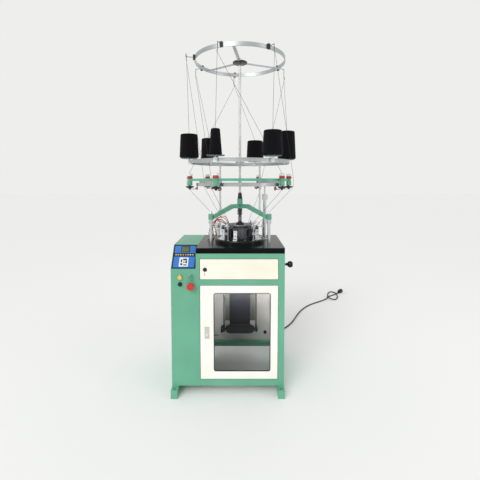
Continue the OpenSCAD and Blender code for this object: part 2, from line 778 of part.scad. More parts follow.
// Upright bracket with a foot to one side, a gusset and a shelf that carries the cam segment
module upright(side) {
    translate([0, -bracket_r, bed_top]) {
        difference() {
            translate([-bracket_w / 2, 0, 0]) cube([bracket_w, bracket_t, bracket_h]);
            translate([-2, -cut, bracket_h - 24]) cube([4, bracket_t + 2 * cut, 16]);
        }
        mirror([side > 0 ? 0 : 1, 0, 0]) {
            translate([bracket_w / 2, -2, 0]) cube([24, bracket_t + 6, 5]);
            translate([bracket_w / 2, bracket_t, 5]) rotate([90, 0, 0]) linear_extrude(bracket_t)
                polygon([[0, 0], [20, 0], [0, 14]]);
        }
        translate([-7, bracket_t, cam_z - bed_top + cam_h / 2 - 6])
            cube([14, bracket_r - cyl_r - cam_gap - cam_t - bracket_t - 1, 12]);
    }
}
module cam_brackets() {
    color("whitesmoke") on_axis() {
        for (a = bracket_at) rotate([0, 0, a]) upright(a > 0 && a < 90 ? 1 : -1);
        rotate([0, 0, small_bracket_at]) translate([0, -bracket_r, bed_top]) difference() {
            union() {
                translate([-10, 8, 0]) cube([20, 6, 56]);
                translate([-10, -8, 0]) cube([20, 22, 6]);
                translate([-6, 14, 34]) cube([12, bracket_r - cyl_r - cam_gap - 14 - 1, 12]);
            }
            translate([0, 15, 26]) rotate([90, 0, 0]) cylinder(r = 4, h = 8);
            translate([0, 0, -cut]) cylinder(r = 3, h = 8);
        }
    }
}
// A sector of angle 2*h about the front direction
module sector(r, h) { polygon([[0, 0], [-r * tan(h), -r], [r * tan(h), -r]]); }
module cam_segments() {
    r_in = cyl_r + cam_gap;
    color("#2a2b2d") on_axis() around(bracket_at) translate([0, 0, cam_z]) linear_extrude(cam_h)
    intersection() {
        difference() {
            circle(r_in + cam_t);
            circle(r_in);
        }
        sector(2 * cyl_r, cam_span / 2);
    }
}
// Post on the bed ring with a clamp block and a finger that leads the yarn to the needles
module feeder() {
    reach = feeder_r - feeder_eye_r;
    translate([0, -feeder_r, bed_top]) cylinder(r = 9, h = 4);
    translate([0, -feeder_r, bed_top]) cylinder(r = 3, h = feeder_z - bed_top + 22);
    translate([-7, -feeder_r - 6, feeder_z - 6]) cube([14, 13, 14]);
    translate([-3, -feeder_r, feeder_z - 5]) cube([6, reach, 3]);
    translate([0, -feeder_r + reach, feeder_z - 5]) difference() {
        translate([-4, -eye_t, 0]) cube([8, eye_t, 10]);
        translate([0, cut, 5]) rotate([90, 0, 0]) cylinder(r = feed_eye_r, h = eye_t + 2 * cut);
    }
}
module yarn_feeders() { color("lightgray") on_axis() around(feeder_at) feeder(); }

// Side outline of one bridge arm, drawn with the radius along X and height along Y
module arm_side() {
    z_hi = hub_z + hub_h - 4;
    polygon([[0, z_hi - arm_t], [arm_flat_r - 6, z_hi - arm_t], [arm_r0, sleeve_z + 3],
        [arm_r0, sleeve_z + sleeve_h - 8], [arm_flat_r, z_hi], [0, z_hi]]);
}
module bridge_casting() {
    color("mediumaquamarine") on_axis() difference() {
        union() {
            translate([0, 0, hub_z]) cylinder(r = hub_r, h = hub_h);
            translate([0, 0, hub_z + hub_h]) cylinder(r = boss_r, h = boss_h);
            around(arm_at) {
                rotate([90, 0, -90]) translate([0, 0, -arm_w / 2]) linear_extrude(arm_w) arm_side();
                translate([0, -col_r, sleeve_z]) cylinder(r = sleeve_r, h = sleeve_h);
                translate([0, -rod_r, seat_z - seat_h - 8]) cylinder(r = rod_d / 2 + 4, h = seat_h + 8);
            }
        }
        around(arm_at) {
            translate([0, -col_r, sleeve_z - cut]) cylinder(d = col_d + 2 * run, h = sleeve_h + 2 * cut);
            translate([0, -rod_r, seat_z - seat_h]) cylinder(d = rod_d + 2 * run, h = seat_h + cut);
        }
        translate([0, 0, hub_z - cut]) cylinder(d = spindle_d + 2 * run, h = 18 + cut);
        translate([0, 0, hub_z + 18]) cylinder(d = mast_d + 2 * run, h = hub_h + boss_h);
        translate([0, 0, hub_z + 11]) rotate([90, 0, 0]) cylinder(r = 3.2, h = hub_r + cut);
    }
}
module bridge_columns() {
    tip_z = sleeve_z + sleeve_h;
    color("gainsboro") on_axis() around(arm_at) translate([0, -col_r, 0]) {
        translate([0, 0, table_z + 2]) cylinder(d = col_d - 5, h = top_t);
        translate([0, 0, bed_z]) cylinder(d = col_d, h = tip_z + 4 - bed_z);
        translate([0, 0, sleeve_z - collar_h]) cylinder(r = collar_r, h = collar_h);
        translate([0, 0, tip_z + 4]) cylinder(d1 = col_d, d2 = 3, h = 17);
    }
}
module hub_cap() {
    color("#161616") on_axis() translate([0, 0, hub_z + hub_h + boss_h]) difference() {
        cylinder(r1 = boss_r - 1, r2 = mast_d / 2 + 2.5, h = cap_h);
        translate([0, 0, -cut]) cylinder(d = mast_d + 2 * run, h = cap_h + 2 * cut);
    }
}

module takedown_frame() {
    low = roll_z - 28;
    color("#5f6b62") on_axis() difference() {
        union() {
            translate([0, 0, hanger_z]) tube(gear_pr - 4, gear_bore_r, hanger_t);
            // Folded plate behind the net
            translate([-back_plate_w / 2, back_plate_y, roll_z + 30]) cube([back_plate_w, 4, hanger_z - roll_z - 30]);
            for (s = [-1, 1]) {
                translate([s * (back_plate_w / 2 - 1.5) - 1.5, back_plate_y - 10, roll_z + 30])
                    cube([3, 12, hanger_z - roll_z - 30]);
                translate([s * hang_w / 2, 0, low]) cylinder(r = rod4, h = hanger_z - low);
                translate([s * hang_w / 2 - block_w / 2, roll_y - 13, roll_z - 14]) cube([block_w, 13 - roll_y + 8, 28]);
            }
            translate([-hang_w / 2 - block_w / 2, 0, star_z - 9]) cube([block_w, star_y + 9, 20]);
        }
        for (s = [-1, 1]) face_right(s * hang_w / 2 - block_w, roll_y, roll_z) cylinder(d = roller_d + 2 * run, h = 2 * block_w);
        face_right(-hang_w / 2 - block_w, star_y, star_z) cylinder(r = 4 + run, h = 2 * block_w);
    }
}
module winding_roller() {
    x0 = -hang_w / 2 - block_w / 2 - air - side_gear_t;
    color("gray") on_axis() {
        face_right(x0 - 3, roll_y, roll_z) cylinder(d = roller_d, h = hang_w / 2 + block_w / 2 + 4 - x0 + 3);
        face_right(x0, roll_y, roll_z) spur_gear(winder_gear_n, winder_m, side_gear_t, roller_d / 2 - 1);
    }
}
// Phase that sets a tooth gap of the star's gear on the tooth line of the winder gear
star_dir = atan2(star_y - roll_y, roll_z - star_z);
module star_wheel() {
    x0 = -hang_w / 2 - block_w / 2 - air - side_gear_t;
    phase = star_dir * winder_gear_n / 360;
    turn = star_dir + 180 + (phase - floor(phase) + 0.5) * 360 / star_gear_n;
    color("darkgray") on_axis() {
        face_right(x0, star_y, star_z) rotate([0, 0, turn]) spur_gear(star_gear_n, winder_m, side_gear_t, 3);
        face_right(x0 - 8, star_y, star_z) cylinder(r = 4, h = block_w + side_gear_t + 8 + 2 * air);
        face_right(x0 - 6, star_y, star_z) linear_extrude(5)
            polygon([for (k = [0:11]) (k % 2 == 0 ? star_r : 10) * [cos(k * 30), sin(k * 30)]]);
    }
}
// Net tube: round inside the cylinder, drawn flat on its way down to the roll
function net_ring(z, t) = let (
        top = cyl_top - 4,
        flat_z = hanger_z - 60,
        u = min(1, max(0, (top - z) / (top - flat_z))),
        s = u * u * (3 - 2 * u),
        rx = (1 - s) * (bore_r - 4) + s * net_w / 2 - t,
        ry = (1 - s) * (bore_r - 4) + s * net_half - t,
        cy = s * net_y)
    [for (k = [0:23]) [rx * cos(k * 15), cy + ry * sin(k * 15), z]];
module net_tube() {
    steps = 14;
    top = cyl_top - 4;
    zs = [for (k = [0:steps]) net_z + (top - net_z) * k / steps];
    m = (steps + 1) * 24;
    pts = concat([for (z = zs) each net_ring(z, 0)], [for (z = zs) each net_ring(z, 1)]);
    wall = [for (j = [0:steps - 1], k = [0:23]) let (q = (k + 1) % 24)
        [j * 24 + k, (j + 1) * 24 + k, (j + 1) * 24 + q, j * 24 + q]];
    color("#2b2b31") on_axis() polyhedron(pts, concat(
        wall,
        [for (w = wall) [for (k = [3:-1:0]) m + w[k]]],
        [for (k = [0:23]) let (q = (k + 1) % 24) [k, q, m + q, m + k]],
        [for (k = [0:23]) let (q = (k + 1) % 24, b = steps * 24) [b + k, m + b + k, m + b + q, b + q]]));
}
module net_roll() {
    r = roll_d / 2;
    w = roll_len / 2;
    color("#26262b") on_axis() face_right(0, roll_y, roll_z) rotate_extrude()
        polygon([[roller_d / 2 + run, -w], [r - 11, -w], [r, -w + 22], [r, w - 22], [r - 11, w], [roller_d / 2 + run, w]]);
}

module ring_post() {
    // The foot has a flat side, so that it fits against the bed ring
    color("gainsboro") on_axis() difference() {
        rotate([0, 0, post_at]) translate([0, -post_r, bed_z]) cylinder(r = 17, h = 5);
        translate([0, 0, bed_z - cut]) cylinder(d = bed_d + 2 * air, h = 5 + 2 * cut);
    }
    color("gainsboro") on_axis() rotate([0, 0, post_at]) translate([0, -post_r, 0]) {
        translate([0, 0, table_z + 2]) cylinder(d = 10, h = top_t);
        translate([0, 0, bed_z]) cylinder(r = 10, h = hex_z - 115 - bed_z);
        translate([0, 0, sleeve_z - 35]) cylinder(r = 14, h = 25);
        translate([0, 0, hex_z - 115]) cylinder(r = 17.5, h = 35);
        translate([0, 0, hex_z - 80]) cylinder(r = 5, h = 82);
    }
}
module creel_rods() {
    z0 = seat_z - seat_h;
    color("gainsboro") on_axis() around(arm_at) translate([0, -rod_r, z0]) cylinder(d = rod_d, h = creel_z - z0);
}
module hex_outline(r) { rotate(hex_turn - 90) circle(r, $fn = 6); }
module feeder_frame() {
    color("mediumaquamarine") on_axis() {
        translate([0, 0, hex_z]) linear_extrude(hex_h) difference() {
            hex_outline(hex_r);
            hex_outline(hex_r - hex_bar / cos(30));
        }
        for (s = station) rotate([0, 0, s[0]]) translate([0, -s[1] + 2, 0]) {
            translate([0, 0, hex_z - station_boss_h]) cylinder(r = station_boss_r, h = station_boss_h);
            translate([0, 0, hex_z]) cylinder(r = station_boss_r - 2, h = hex_h);
            if (s[1] < hex_r) translate([-9, 0, hex_z]) cube([18, 22, hex_h]);
        }
    }
}
// Polished ring with arms to collars on the creel rods and on the ring post
module guide_ring() {
    arm_z = guide_z + guide_h;
    color("gainsboro") on_axis() difference() {
        union() {
            translate([0, 0, guide_z]) tube(guide_r, guide_r - guide_t, guide_h);
            for (a = [[60, rod_r], [180, rod_r], [-60, rod_r], [post_at, post_r]]) rotate([0, 0, a[0]]) {
                translate([-7, -guide_r, arm_z - 1]) cube([14, guide_r - a[1], hex_z - arm_z + 1]);
                translate([0, -a[1], arm_z - 4]) cylinder(r = collar_out, h = hex_z - arm_z + 4);
            }
        }
        around(arm_at) translate([0, -rod_r, arm_z - 5]) cylinder(d = rod_d + 2 * run, h = 30);
        around([post_at]) translate([0, -post_r, arm_z - 5]) cylinder(r = 5 + run, h = 30);
    }
}
module at_stations() {
    for ($k = [0:5]) rotate([0, 0, station[$k][0]]) translate([0, -station[$k][1] + 2, 0]) children();
}
// Wire that stands out of a unit of radius r and ends in a closed eye for the yarn
module eye_wire(r) {
    rotate([0, 0, wire_turn[$k]]) {
        // A rim that reaches the eye carries it without a wire
        if (r < eye_out - ring_eye_r - 2 * ring_wire_r) translate([0, -r + 4, 0]) rotate([90, 0, 0])
            cylinder(r = ring_wire_r - 0.2, h = eye_out - ring_eye_r + 0.2 - r + 4);
        translate([0, -eye_out, 0]) rotate_extrude() translate([ring_eye_r, 0]) circle(ring_wire_r);
    }
}
module tension_units() {
    z = hex_z + hex_h;
    color("firebrick") on_axis() at_stations() translate([0, 0, z]) {
        cylinder(r = unit_r - 3, h = unit_h);
        cylinder(r = unit_r, h = 13);
        translate([0, 0, 16]) cylinder(r = unit_r, h = 11);
        translate([0, 0, 6]) eye_wire(unit_r);
    }
}
module brake_discs() {
    z = hex_z - station_boss_h;
    color("#2a2a2c") on_axis() at_stations() {
        rotate_extrude() polygon([[0, z - disc_h], [6, z - disc_h], [6, z - disc_h + 8], [13, z - disc_h + 8],
            [disc_r, z - 9], [disc_r, z - 4], [9, z - 4], [9, z], [0, z]]);
        translate([0, 0, z - 6.5]) eye_wire(disc_r);
        // Arm under the discs that carries the brake's adjusting knob
        translate([-4, 1, z - disc_h + 0.5]) cube([8, arm_in + 2, 3]);
        translate([-4, arm_in, z - disc_h + 1]) cube([8, 3, 14]);
        translate([0, arm_in + 1, z - disc_h + 8]) rotate([90, 0, 0]) cylinder(r = brake_knob_r, h = 6);
        translate([0, arm_in - 4, z - disc_h + 8]) rotate([90, 0, 0]) cylinder(r = 5, h = 7);
    }
}

module creel_ring() {
    color("gainsboro") on_axis() translate([0, 0, creel_z]) difference() {
        union() {
            tube(creel_r, creel_r - creel_t, creel_h);
            cylinder(r = 26, h = 14);
            around(arm_at) translate([-10, -creel_r + creel_t - 1, 0]) cube([20, creel_r - creel_t + 1, 6]);
        }
        translate([0, 0, -cut]) cylinder(d = mast_d + 2 * run, h = creel_h);
    }
}
// Block that clamps the ring from outside and inside, with the stud for a saucer
module creel_brackets() {
    color("whitesmoke") on_axis() around(cone_at) {
        translate([-10.5, -creel_r - 13, creel_z - 1]) cube([21, 13 - run, creel_h + 4]);
        translate([-10.5, -creel_r - 13, creel_z + creel_h + run]) cube([21, 13 + creel_t + 6, 3]);
        translate([-10.5, -creel_r + creel_t + air, creel_z + 4]) cube([21, 6, creel_h - 1]);
        translate([0, -cone_r, creel_z + creel_h + 1]) cylinder(r = 4, h = saucer_z - creel_z - creel_h - 1);
    }
}
module saucers() {
    color("darkgreen") on_axis() around(cone_at) translate([0, -cone_r, saucer_z]) {
        cylinder(r1 = saucer_r - 4, r2 = saucer_r, h = saucer_t);
        cylinder(r = 7, h = 60);
    }
}
module yarn_cones() {
    color("#17171c") on_axis() for (k = [0:5]) rotate([0, 0, cone_at[k]]) translate([0, -cone_r, cone_z]) {
        d = cone_dims[k];
        difference() {
            rotate_extrude() polygon([[0, 0], [d[0] - 3, 0], [d[0], 4], [d[1], d[2] - 5], [d[1] - 4, d[2]], [0, d[2]]]);
            translate([0, 0, -cut]) cylinder(r = 7 + air, h = 62 - saucer_t + cut);
        }
    }
}

module mast() {
    color("gainsboro") on_axis() translate([0, 0, hub_z + 19]) cylinder(d = mast_d, h = mast_top - hub_z - 19);
}
module top_ring() {
    color("gainsboro") on_axis() difference() {
        union() {
            translate([0, 0, top_z]) tube(top_r, top_r - top_t5, top_h);
            translate([0, 0, top_z - 2]) cylinder(r = top_hub_r, h = 8);
            around([top_turn, top_turn + 120, top_turn - 120])
                translate([-spoke_w / 2, -top_r + top_t5 - 1, top_z]) cube([spoke_w, top_r - top_t5 + 1, spoke_t]);
        }
        translate([0, 0, top_z - 3]) cylinder(d = mast_d + 2 * run, h = 20);
    }
}
// Clamp block on the top ring with a bent wire that ends in an eye
module yarn_guides() {
    z = top_z + top_h / 2;
    color("#202020") on_axis() for (k = [0:5]) rotate([0, 0, guide_at[k]]) {
        ez = top_z + eye_dz[k];
        lo = min(z, ez - 2);
        hi = max(z, ez + 2);
        translate([-7, -top_r - 10, z - 14]) cube([14, 10 - run, 28]);
        translate([-7, -top_r - 10, z + 11 + run]) cube([14, 20, 3]);
        translate([0, -top_r - 8, z]) rotate([90, 0, 0]) cylinder(r = wire_r, h = eye_r - top_r - 8);
        translate([0, -eye_r, lo]) cylinder(r = wire_r, h = hi - lo);
        translate([side[k] * eye_in, -eye_r, ez]) rotate([90, 0, 0]) rotate_extrude() translate([4, 0]) circle(wire_r - 0.3);
    }
}
function polar(a, r, z, x = 0) = [r * sin(a) + x * cos(a), -r * cos(a) + x * sin(a), z];
// Each cone's yarn runs up to its eye, down past the next station and in to a feeder
to_station = [5, 2, 3, 4, 0, 1];
module yarns() {
    color("#1a1a1e") on_axis() for (k = [0:5]) {
        s = station[to_station[k]];
        top = polar(cone_at[k], cone_r, cone_z + cone_dims[k][2] + air);
        lap = wire_r + yarn_r + 0.1;
        ez = top_z + eye_dz[k] - 4;
        over = [for (q = [[-lap, -0.5], [-0.6 * lap, lap], [0.6 * lap, lap], [lap, -0.5]])
            polar(guide_at[k], eye_r + q[0], ez + q[1], side[k] * eye_in)];
        turn = wire_turn[to_station[k]];
        r = s[1] - 2 + eye_out * cos(turn);
        x = eye_out * sin(turn);
        upper = polar(s[0], r, hex_z + hex_h + 6, x);
        lower = polar(s[0], r, hex_z - station_boss_h - 10, x);
        f = feeder_at[to_station[k]];
        in_eye = [polar(f, feeder_eye_r + eye_t + 2.2, feeder_z), polar(f, feeder_eye_r + eye_t / 2, feeder_z)];
        sweep(concat([top], over, [upper, lower], in_eye),
            yarn_r, 6, [cos(guide_at[k]), sin(guide_at[k]), 0]);
    }
}

module cord_gland() {
    color("#161616") translate([gland_x, back + rear_t, gland_z]) rotate([-90, 0, 0]) difference() {
        union() {
            translate([0, 0, -rear_t - 4]) cylinder(d = 16, h = rear_t + 5);
            cylinder(d = 26, h = 10, $fn = 6);
            translate([0, 0, 10]) cylinder(r1 = 10, r2 = 7, h = gland_l - 10);
            translate([0, 0, -rear_t - 8]) cylinder(d = 24, h = 8, $fn = 6);
        }
    }
}
// Smooth curve through the cord's points
function spline(p0, p1, p2, p3, t) = 0.5 * (2 * p1 + (p2 - p0) * t + (2 * p0 - 5 * p1 + 4 * p2 - p3) * t * t
    + (3 * p1 - p0 - 3 * p2 + p3) * t * t * t);
function cord_path(p, per) = let (n = len(p))
    [for (i = [0:n - 2], k = [0:per - 1]) spline(p[max(0, i - 1)], p[i], p[i + 1], p[min(n - 1, i + 2)], k / per), p[n - 1]];
function unit(v) = v / norm(v);
module sweep(path, r, sides, ref = [0, 0, 1]) {
    n = len(path);
    pts = [for (i = [0:n - 1]) let (
            t = unit(path[min(n - 1, i + 1)] - path[max(0, i - 1)]),
            s = unit(cross(t, ref)),
            u = cross(s, t))
        each [for (k = [0:sides - 1]) path[i] + r * (cos((k + 0.5) * 360 / sides) * s + sin((k + 0.5) * 360 / sides) * u)]];
    polyhedron(pts, concat(
        [[for (k = [0:sides - 1]) k]],
        [for (i = [0:n - 2], k = [0:sides - 1])
            [i * sides + k, (i + 1) * sides + k, (i + 1) * sides + (k + 1) % sides, i * sides + (k + 1) % sides]],
        [[for (k = [sides - 1:-1:0]) (n - 1) * sides + k]]));
}
module power_cord() { color("#1b1b1b") sweep(cord_path(cord_pts, 2), cord_d / 2, 8); }
module power_plug() {
    end = cord_pts[len(cord_pts) - 1];
    color("#1f1f1f") translate([end[0], end[1], 0]) rotate([0, 0, plug_dir]) {
        translate([0, 0, 19]) rotate([0, 90, 0]) {
            translate([0, 0, 30]) cylinder(r = 19, h = 34);
            translate([0, 0, 8]) cylinder(r1 = 12, r2 = 19, h = 22);
        }
        translate([0, 0, lie + 2]) rotate([0, 90, 0]) cylinder(r1 = 7, r2 = 7, h = 26);
        for (y = [-9.5, 9.5]) translate([64, y, 19]) rotate([0, 90, 0]) cylinder(r = 2.4, h = 19);
    }
}

foot_rails();
cabinet_shell();
rear_panel();
tabletop();
console_panel();
console_display();
upper_cover();
cover_lock();
door_frame();
door_glass();
latch_housing();
latch_handle();
hinge_pins();
button_bezels();
start_button();
reset_button();
jog_button();
estop_stem();
estop_head();
side_knob();
motor();
motor_pulley();
drive_belt();
pinion_shaft();
drive_pulley();
shaft_bearings();
cylinder_gear();
bed_ring();
needle_cylinder();
needles();
dial();
dial_spindle();
cam_brackets();
cam_segments();
yarn_feeders();
bridge_casting();
bridge_columns();
hub_cap();
takedown_frame();
winding_roller();
star_wheel();
net_tube();
net_roll();
ring_post();
creel_rods();
feeder_frame();
guide_ring();
tension_units();
brake_discs();
creel_ring();
creel_brackets();
saucers();
yarn_cones();
mast();
top_ring();
yarn_guides();
yarns();
cord_gland();
power_cord();
power_plug();
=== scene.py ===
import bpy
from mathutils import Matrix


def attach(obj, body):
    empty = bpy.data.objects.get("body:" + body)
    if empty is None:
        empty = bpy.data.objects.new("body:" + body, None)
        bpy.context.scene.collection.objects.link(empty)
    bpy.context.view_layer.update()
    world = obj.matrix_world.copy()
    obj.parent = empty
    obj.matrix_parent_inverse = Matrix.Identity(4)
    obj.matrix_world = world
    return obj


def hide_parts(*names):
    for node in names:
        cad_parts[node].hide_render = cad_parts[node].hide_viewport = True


bl_info = {
    "name": "Industrial Knitting Machine",
    "version": (1, 0, 0),
    "blender": (4, 5, 0),
    "location": "View3D > Sidebar > Knitting Machine",
    "description": "Dresses a packed circular knitting machine with its finishes, yarns, net and small pieces",
    "category": "Object",
}

import math

import bmesh
import bpy
from mathutils import Matrix, Vector

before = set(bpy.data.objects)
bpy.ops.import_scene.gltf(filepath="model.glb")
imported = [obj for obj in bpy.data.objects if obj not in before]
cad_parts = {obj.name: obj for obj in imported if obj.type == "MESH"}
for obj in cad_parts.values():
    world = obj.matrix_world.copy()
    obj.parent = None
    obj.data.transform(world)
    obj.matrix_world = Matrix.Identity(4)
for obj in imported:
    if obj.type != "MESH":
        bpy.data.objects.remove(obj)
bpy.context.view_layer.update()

MM = 0.001

# Main places of the part, in mm: X to the right, Y to the back and Z up from the floor
AXIS_X = 18.0  # the knitting axis
LEFT, RIGHT, FRONT, BACK = -358.0, 262.0, -230.0, 231.5
WINDOW = (-126, 132, 312, 440, 12)  # left, foot, width, height and corner radius
CABINET_INSIDE = ((-221, -227.5, 236), (261, 231, 789))
TAKEDOWN_PLATE = ((AXIS_X - 94.2, 19, 313), (AXIS_X + 94.2, 35, 743))
CONSOLE_FOOT, CONSOLE_TOP, CONSOLE_DEPTH, PANEL_T = 705.0, 820.0, 105.0, 3.0
BUTTONS = ((-308, 661, 14.5), (-248, 661, 14.5), (-308, 622, 11.5), (-248, 616, 14.5))  # x, z and bezel radius
CYLINDER_R, CYLINDER_FOOT, CYLINDER_TOP = 88.0, 842.3, 906.3
DIAL_TOP = 923.3
# A feeder eye's height, and a yarn's distance from the axis just before the eye and in it
FEEDER_Z, INTO_FEEDER = 912.3, (97.2, 93.5)
FRAME_Z, CREEL_Z, GUIDE_Z = 1196.0, 1317.0, 1873.0
CONE_R, GUIDE_R = 300, 314

FORWARD = (0, -1, 0)

# The camera fitted to the photograph, place in m, tilt in radians, lens and sensor in mm
CAMERA_AT, CAMERA_TILT = (18.3 * MM, -2.067, 1.1812), 0.0630
LENS, SENSOR, SHIFT = 25.76, 36.0, -0.0774
FLOOR_HALF, FLOOR_DROP = 30.0, 0.0002  # in m; the drop keeps the floor clear of the feet

# Places round the knitting axis, in degrees from the front and growing to the right, as in the part's source
CONE_AT = (-84, -25, 35, 105, 160, -138)
CONE_SIZES = ((56, 50, 139), (34, 24, 137), (55, 48, 132), (56, 48, 172), (58, 52, 137), (57, 52, 145))
STATIONS = ((-85, 298), (-25, 298), (57, 279), (95, 298), (155, 298), (-131, 279))
FEEDER_AT = (-72, -30, 34, 84, 150, -113)
GUIDE_AT = (-76, -21, 34, 118, 187.5, -117.5)
EYE_DZ = (26, -33, -24, -43, -46, -36)
EYE_SIDE, EYE_R = 3.7, 4  # of a top guide's wire ring
WIRE_TURN = (-50, -30, 90, -10, -30, 70)
TO_STATION = (5, 2, 3, 4, 0, 1)  # the station that each cone's yarn runs to
EYE_OUT, UPPER_EYE, LOWER_EYE = 28, 1202, 1149.5
ARMS_AT = (60, 180, -60)
BRACKETS_AT = (-47, 47, 133, -133)

# The power cord's route over the floor, in mm, repeated from the part's source
CORD_POINTS = (
    (190, 263.5, 150), (190, 305, 147), (193, 350, 120), (200, 390, 72), (211, 428, 26), (230, 468, 7),
    (262, 510, 5), (312, 562, 5), (374, 617, 5), (440, 712, 5), (492, 822, 5), (540, 932, 5), (588, 1018, 5),
    (642, 1094, 5), (706, 1160, 5), (775, 1216, 5), (845, 1270, 5), (893, 1322, 5), (920, 1400, 5),
    (945, 1480, 5), (986, 1528, 5), (1022, 1492, 5), (1016, 1414, 17), (1004, 1346, 5), (968, 1290, 5),
    (916, 1284, 17), (908, 1340, 17), (950, 1398, 5), (1006, 1444, 5), (1050, 1484, 5))
CORD_D = 10
PLUG_TURN, PLUG_Z = 42, 19
GLAND = (190, BACK, 150)

# Sensor wires behind the head on the left, in mm from the knitting axis
RED_WIRES = (
    ((-78, 60, 925), (-92, 74, 946), (-118, 90, 954), (-146, 100, 946), (-166, 104, 915), (-158, 120, 870),
     (-150, 140, 826)),
    ((-70, 66, 922), (-84, 86, 950), (-104, 104, 960), (-132, 112, 952), (-160, 112, 922), (-174, 120, 880),
     (-168, 150, 826)),
    ((-92, 50, 928), (-112, 62, 940), (-134, 80, 944), (-154, 96, 928), (-172, 104, 900), (-190, 112, 884),
     (-196, 124, 862), (-178, 140, 840), (-164, 150, 826)),
    ((-98, 40, 922), (-124, 50, 934), (-150, 70, 936), (-174, 90, 915), (-184, 108, 874), (-172, 150, 826)),
    ((-86, 56, 920), (-104, 72, 934), (-128, 88, 938), (-150, 98, 930), (-160, 110, 896), (-156, 130, 856),
     (-158, 148, 826)))
WHITE_WIRES = (
    ((-100, 30, 900), (-130, 40, 905), (-162, 60, 895), (-184, 80, 872), (-200, 104, 850), (-186, 130, 832),
     (-170, 150, 826)),
    ((-104, 20, 885), (-134, 30, 882), (-158, 50, 868), (-186, 84, 852), (-204, 100, 836), (-186, 124, 827),
     (-160, 150, 826)),
    ((-90, 52, 916), (-112, 66, 930), (-138, 84, 928), (-152, 100, 900), (-150, 130, 850), (-154, 146, 826)))


class KnitStageSettings(bpy.types.PropertyGroup):
    floor: bpy.props.FloatVectorProperty(
        name="Floor", description="Colour of the plain floor", subtype="COLOR_GAMMA", size=3,
        default=(0.962, 0.962, 0.957), min=0, max=1)
    sun: bpy.props.FloatProperty(
        name="Sun", description="Strength of the wide soft sun that lights the floor evenly", default=1.25, min=0)
    lamp_power: bpy.props.FloatProperty(
        name="Lamp power", description="Power of the softbox on the left", default=13.0, min=0, unit="POWER")
    cabinet_fill: bpy.props.FloatProperty(
        name="Cabinet fill", description="Power of the small lamp that opens the shade behind the window",
        default=2.2, min=0, unit="POWER")
    sky: bpy.props.FloatProperty(
        name="Sky strength", description="Strength of the even light from all round", default=0.69, min=0)


class KnitPaintSettings(bpy.types.PropertyGroup):
    cabinet: bpy.props.StringProperty(
        name="Cabinet green", description="sRGB hex colour of the powder coat", default="#68AC8E")
    casting: bpy.props.StringProperty(
        name="Casting green", description="sRGB hex colour of the enamel on castings", default="#60A88C")
    door: bpy.props.StringProperty(
        name="Door cream", description="sRGB hex colour of the door and the cover", default="#F4F1E2")
    membrane: bpy.props.StringProperty(
        name="Panel blue", description="sRGB hex colour of the console's membrane", default="#2C78CC")
    mushroom: bpy.props.StringProperty(
        name="Stop red", description="sRGB hex colour of the stop button", default="#C8322B")


class KnitHeadSettings(bpy.types.PropertyGroup):
    needles: bpy.props.IntProperty(name="Needles", description="Needles round the cylinder", default=72, min=12)
    flange_screws: bpy.props.IntProperty(
        name="Flange screws", description="Small screws round the cylinder's flange", default=36, min=6)


class KnitYarnSettings(bpy.types.PropertyGroup):
    yarn_d: bpy.props.FloatProperty(
        name="Yarn", description="Diameter of a running yarn", default=1.6 * MM, min=0.2 * MM, unit="LENGTH")
    wind_pitch: bpy.props.FloatProperty(
        name="Winding pitch", description="Spacing of the yarns on a cone", default=2.4 * MM, min=0.5 * MM,
        unit="LENGTH")


def linear(code, alpha=1.0):
    """Linear colour from an sRGB hex value."""
    parts = [int(code.lstrip("#")[i:i + 2], 16) / 255 for i in (0, 2, 4)]
    return tuple(c / 12.92 if c <= 0.04045 else ((c + 0.055) / 1.055) ** 2.4 for c in parts) + (alpha,)


def add(tree, kind, sockets=None, **settings):
    """Adds a node, sets its settings, and sets or links its input sockets by name or place."""
    node = tree.nodes.new(kind)
    for key, value in settings.items():
        setattr(node, key, value)
    for key, value in (sockets or {}).items():
        if isinstance(value, bpy.types.NodeSocket):
            tree.links.new(value, node.inputs[key])
        else:
            node.inputs[key].default_value = value
    return node


def blank(name):
    """A new material, its empty tree, and the place of a point on the piece in metres."""
    material = bpy.data.materials.new(name)
    material.use_nodes = True
    material.node_tree.nodes.clear()
    return material, material.node_tree, add(material.node_tree, "ShaderNodeTexCoord").outputs["Object"]


EVEN = (1, 1, 1)
LATHE = (30, 30, 1)     # marks that run round an upright turned piece
UPRIGHT = (1, 1, 25)    # marks that run up and down
PEEL = ((2.2, EVEN, 0.05),)  # the orange peel of a powder coat


DRIFT_SPAN, GLOSS_SPAN = (0.35, 0.68), (0.3, 0.7)  # the noise that counts as none and as all


def streaks(tree, source, size_mm, stretch, detail=2.0):
    """Noise of a real size in mm, drawn out by a stretch along X, Y and Z."""
    mapped = add(tree, "ShaderNodeMapping", {"Vector": source, "Scale": [1.0 / s for s in stretch]})
    return add(tree, "ShaderNodeTexNoise",
               {"Vector": mapped.outputs["Vector"], "Scale": 1.0 / (size_mm * MM), "Detail": detail,
                "Roughness": 0.55}).outputs["Fac"]


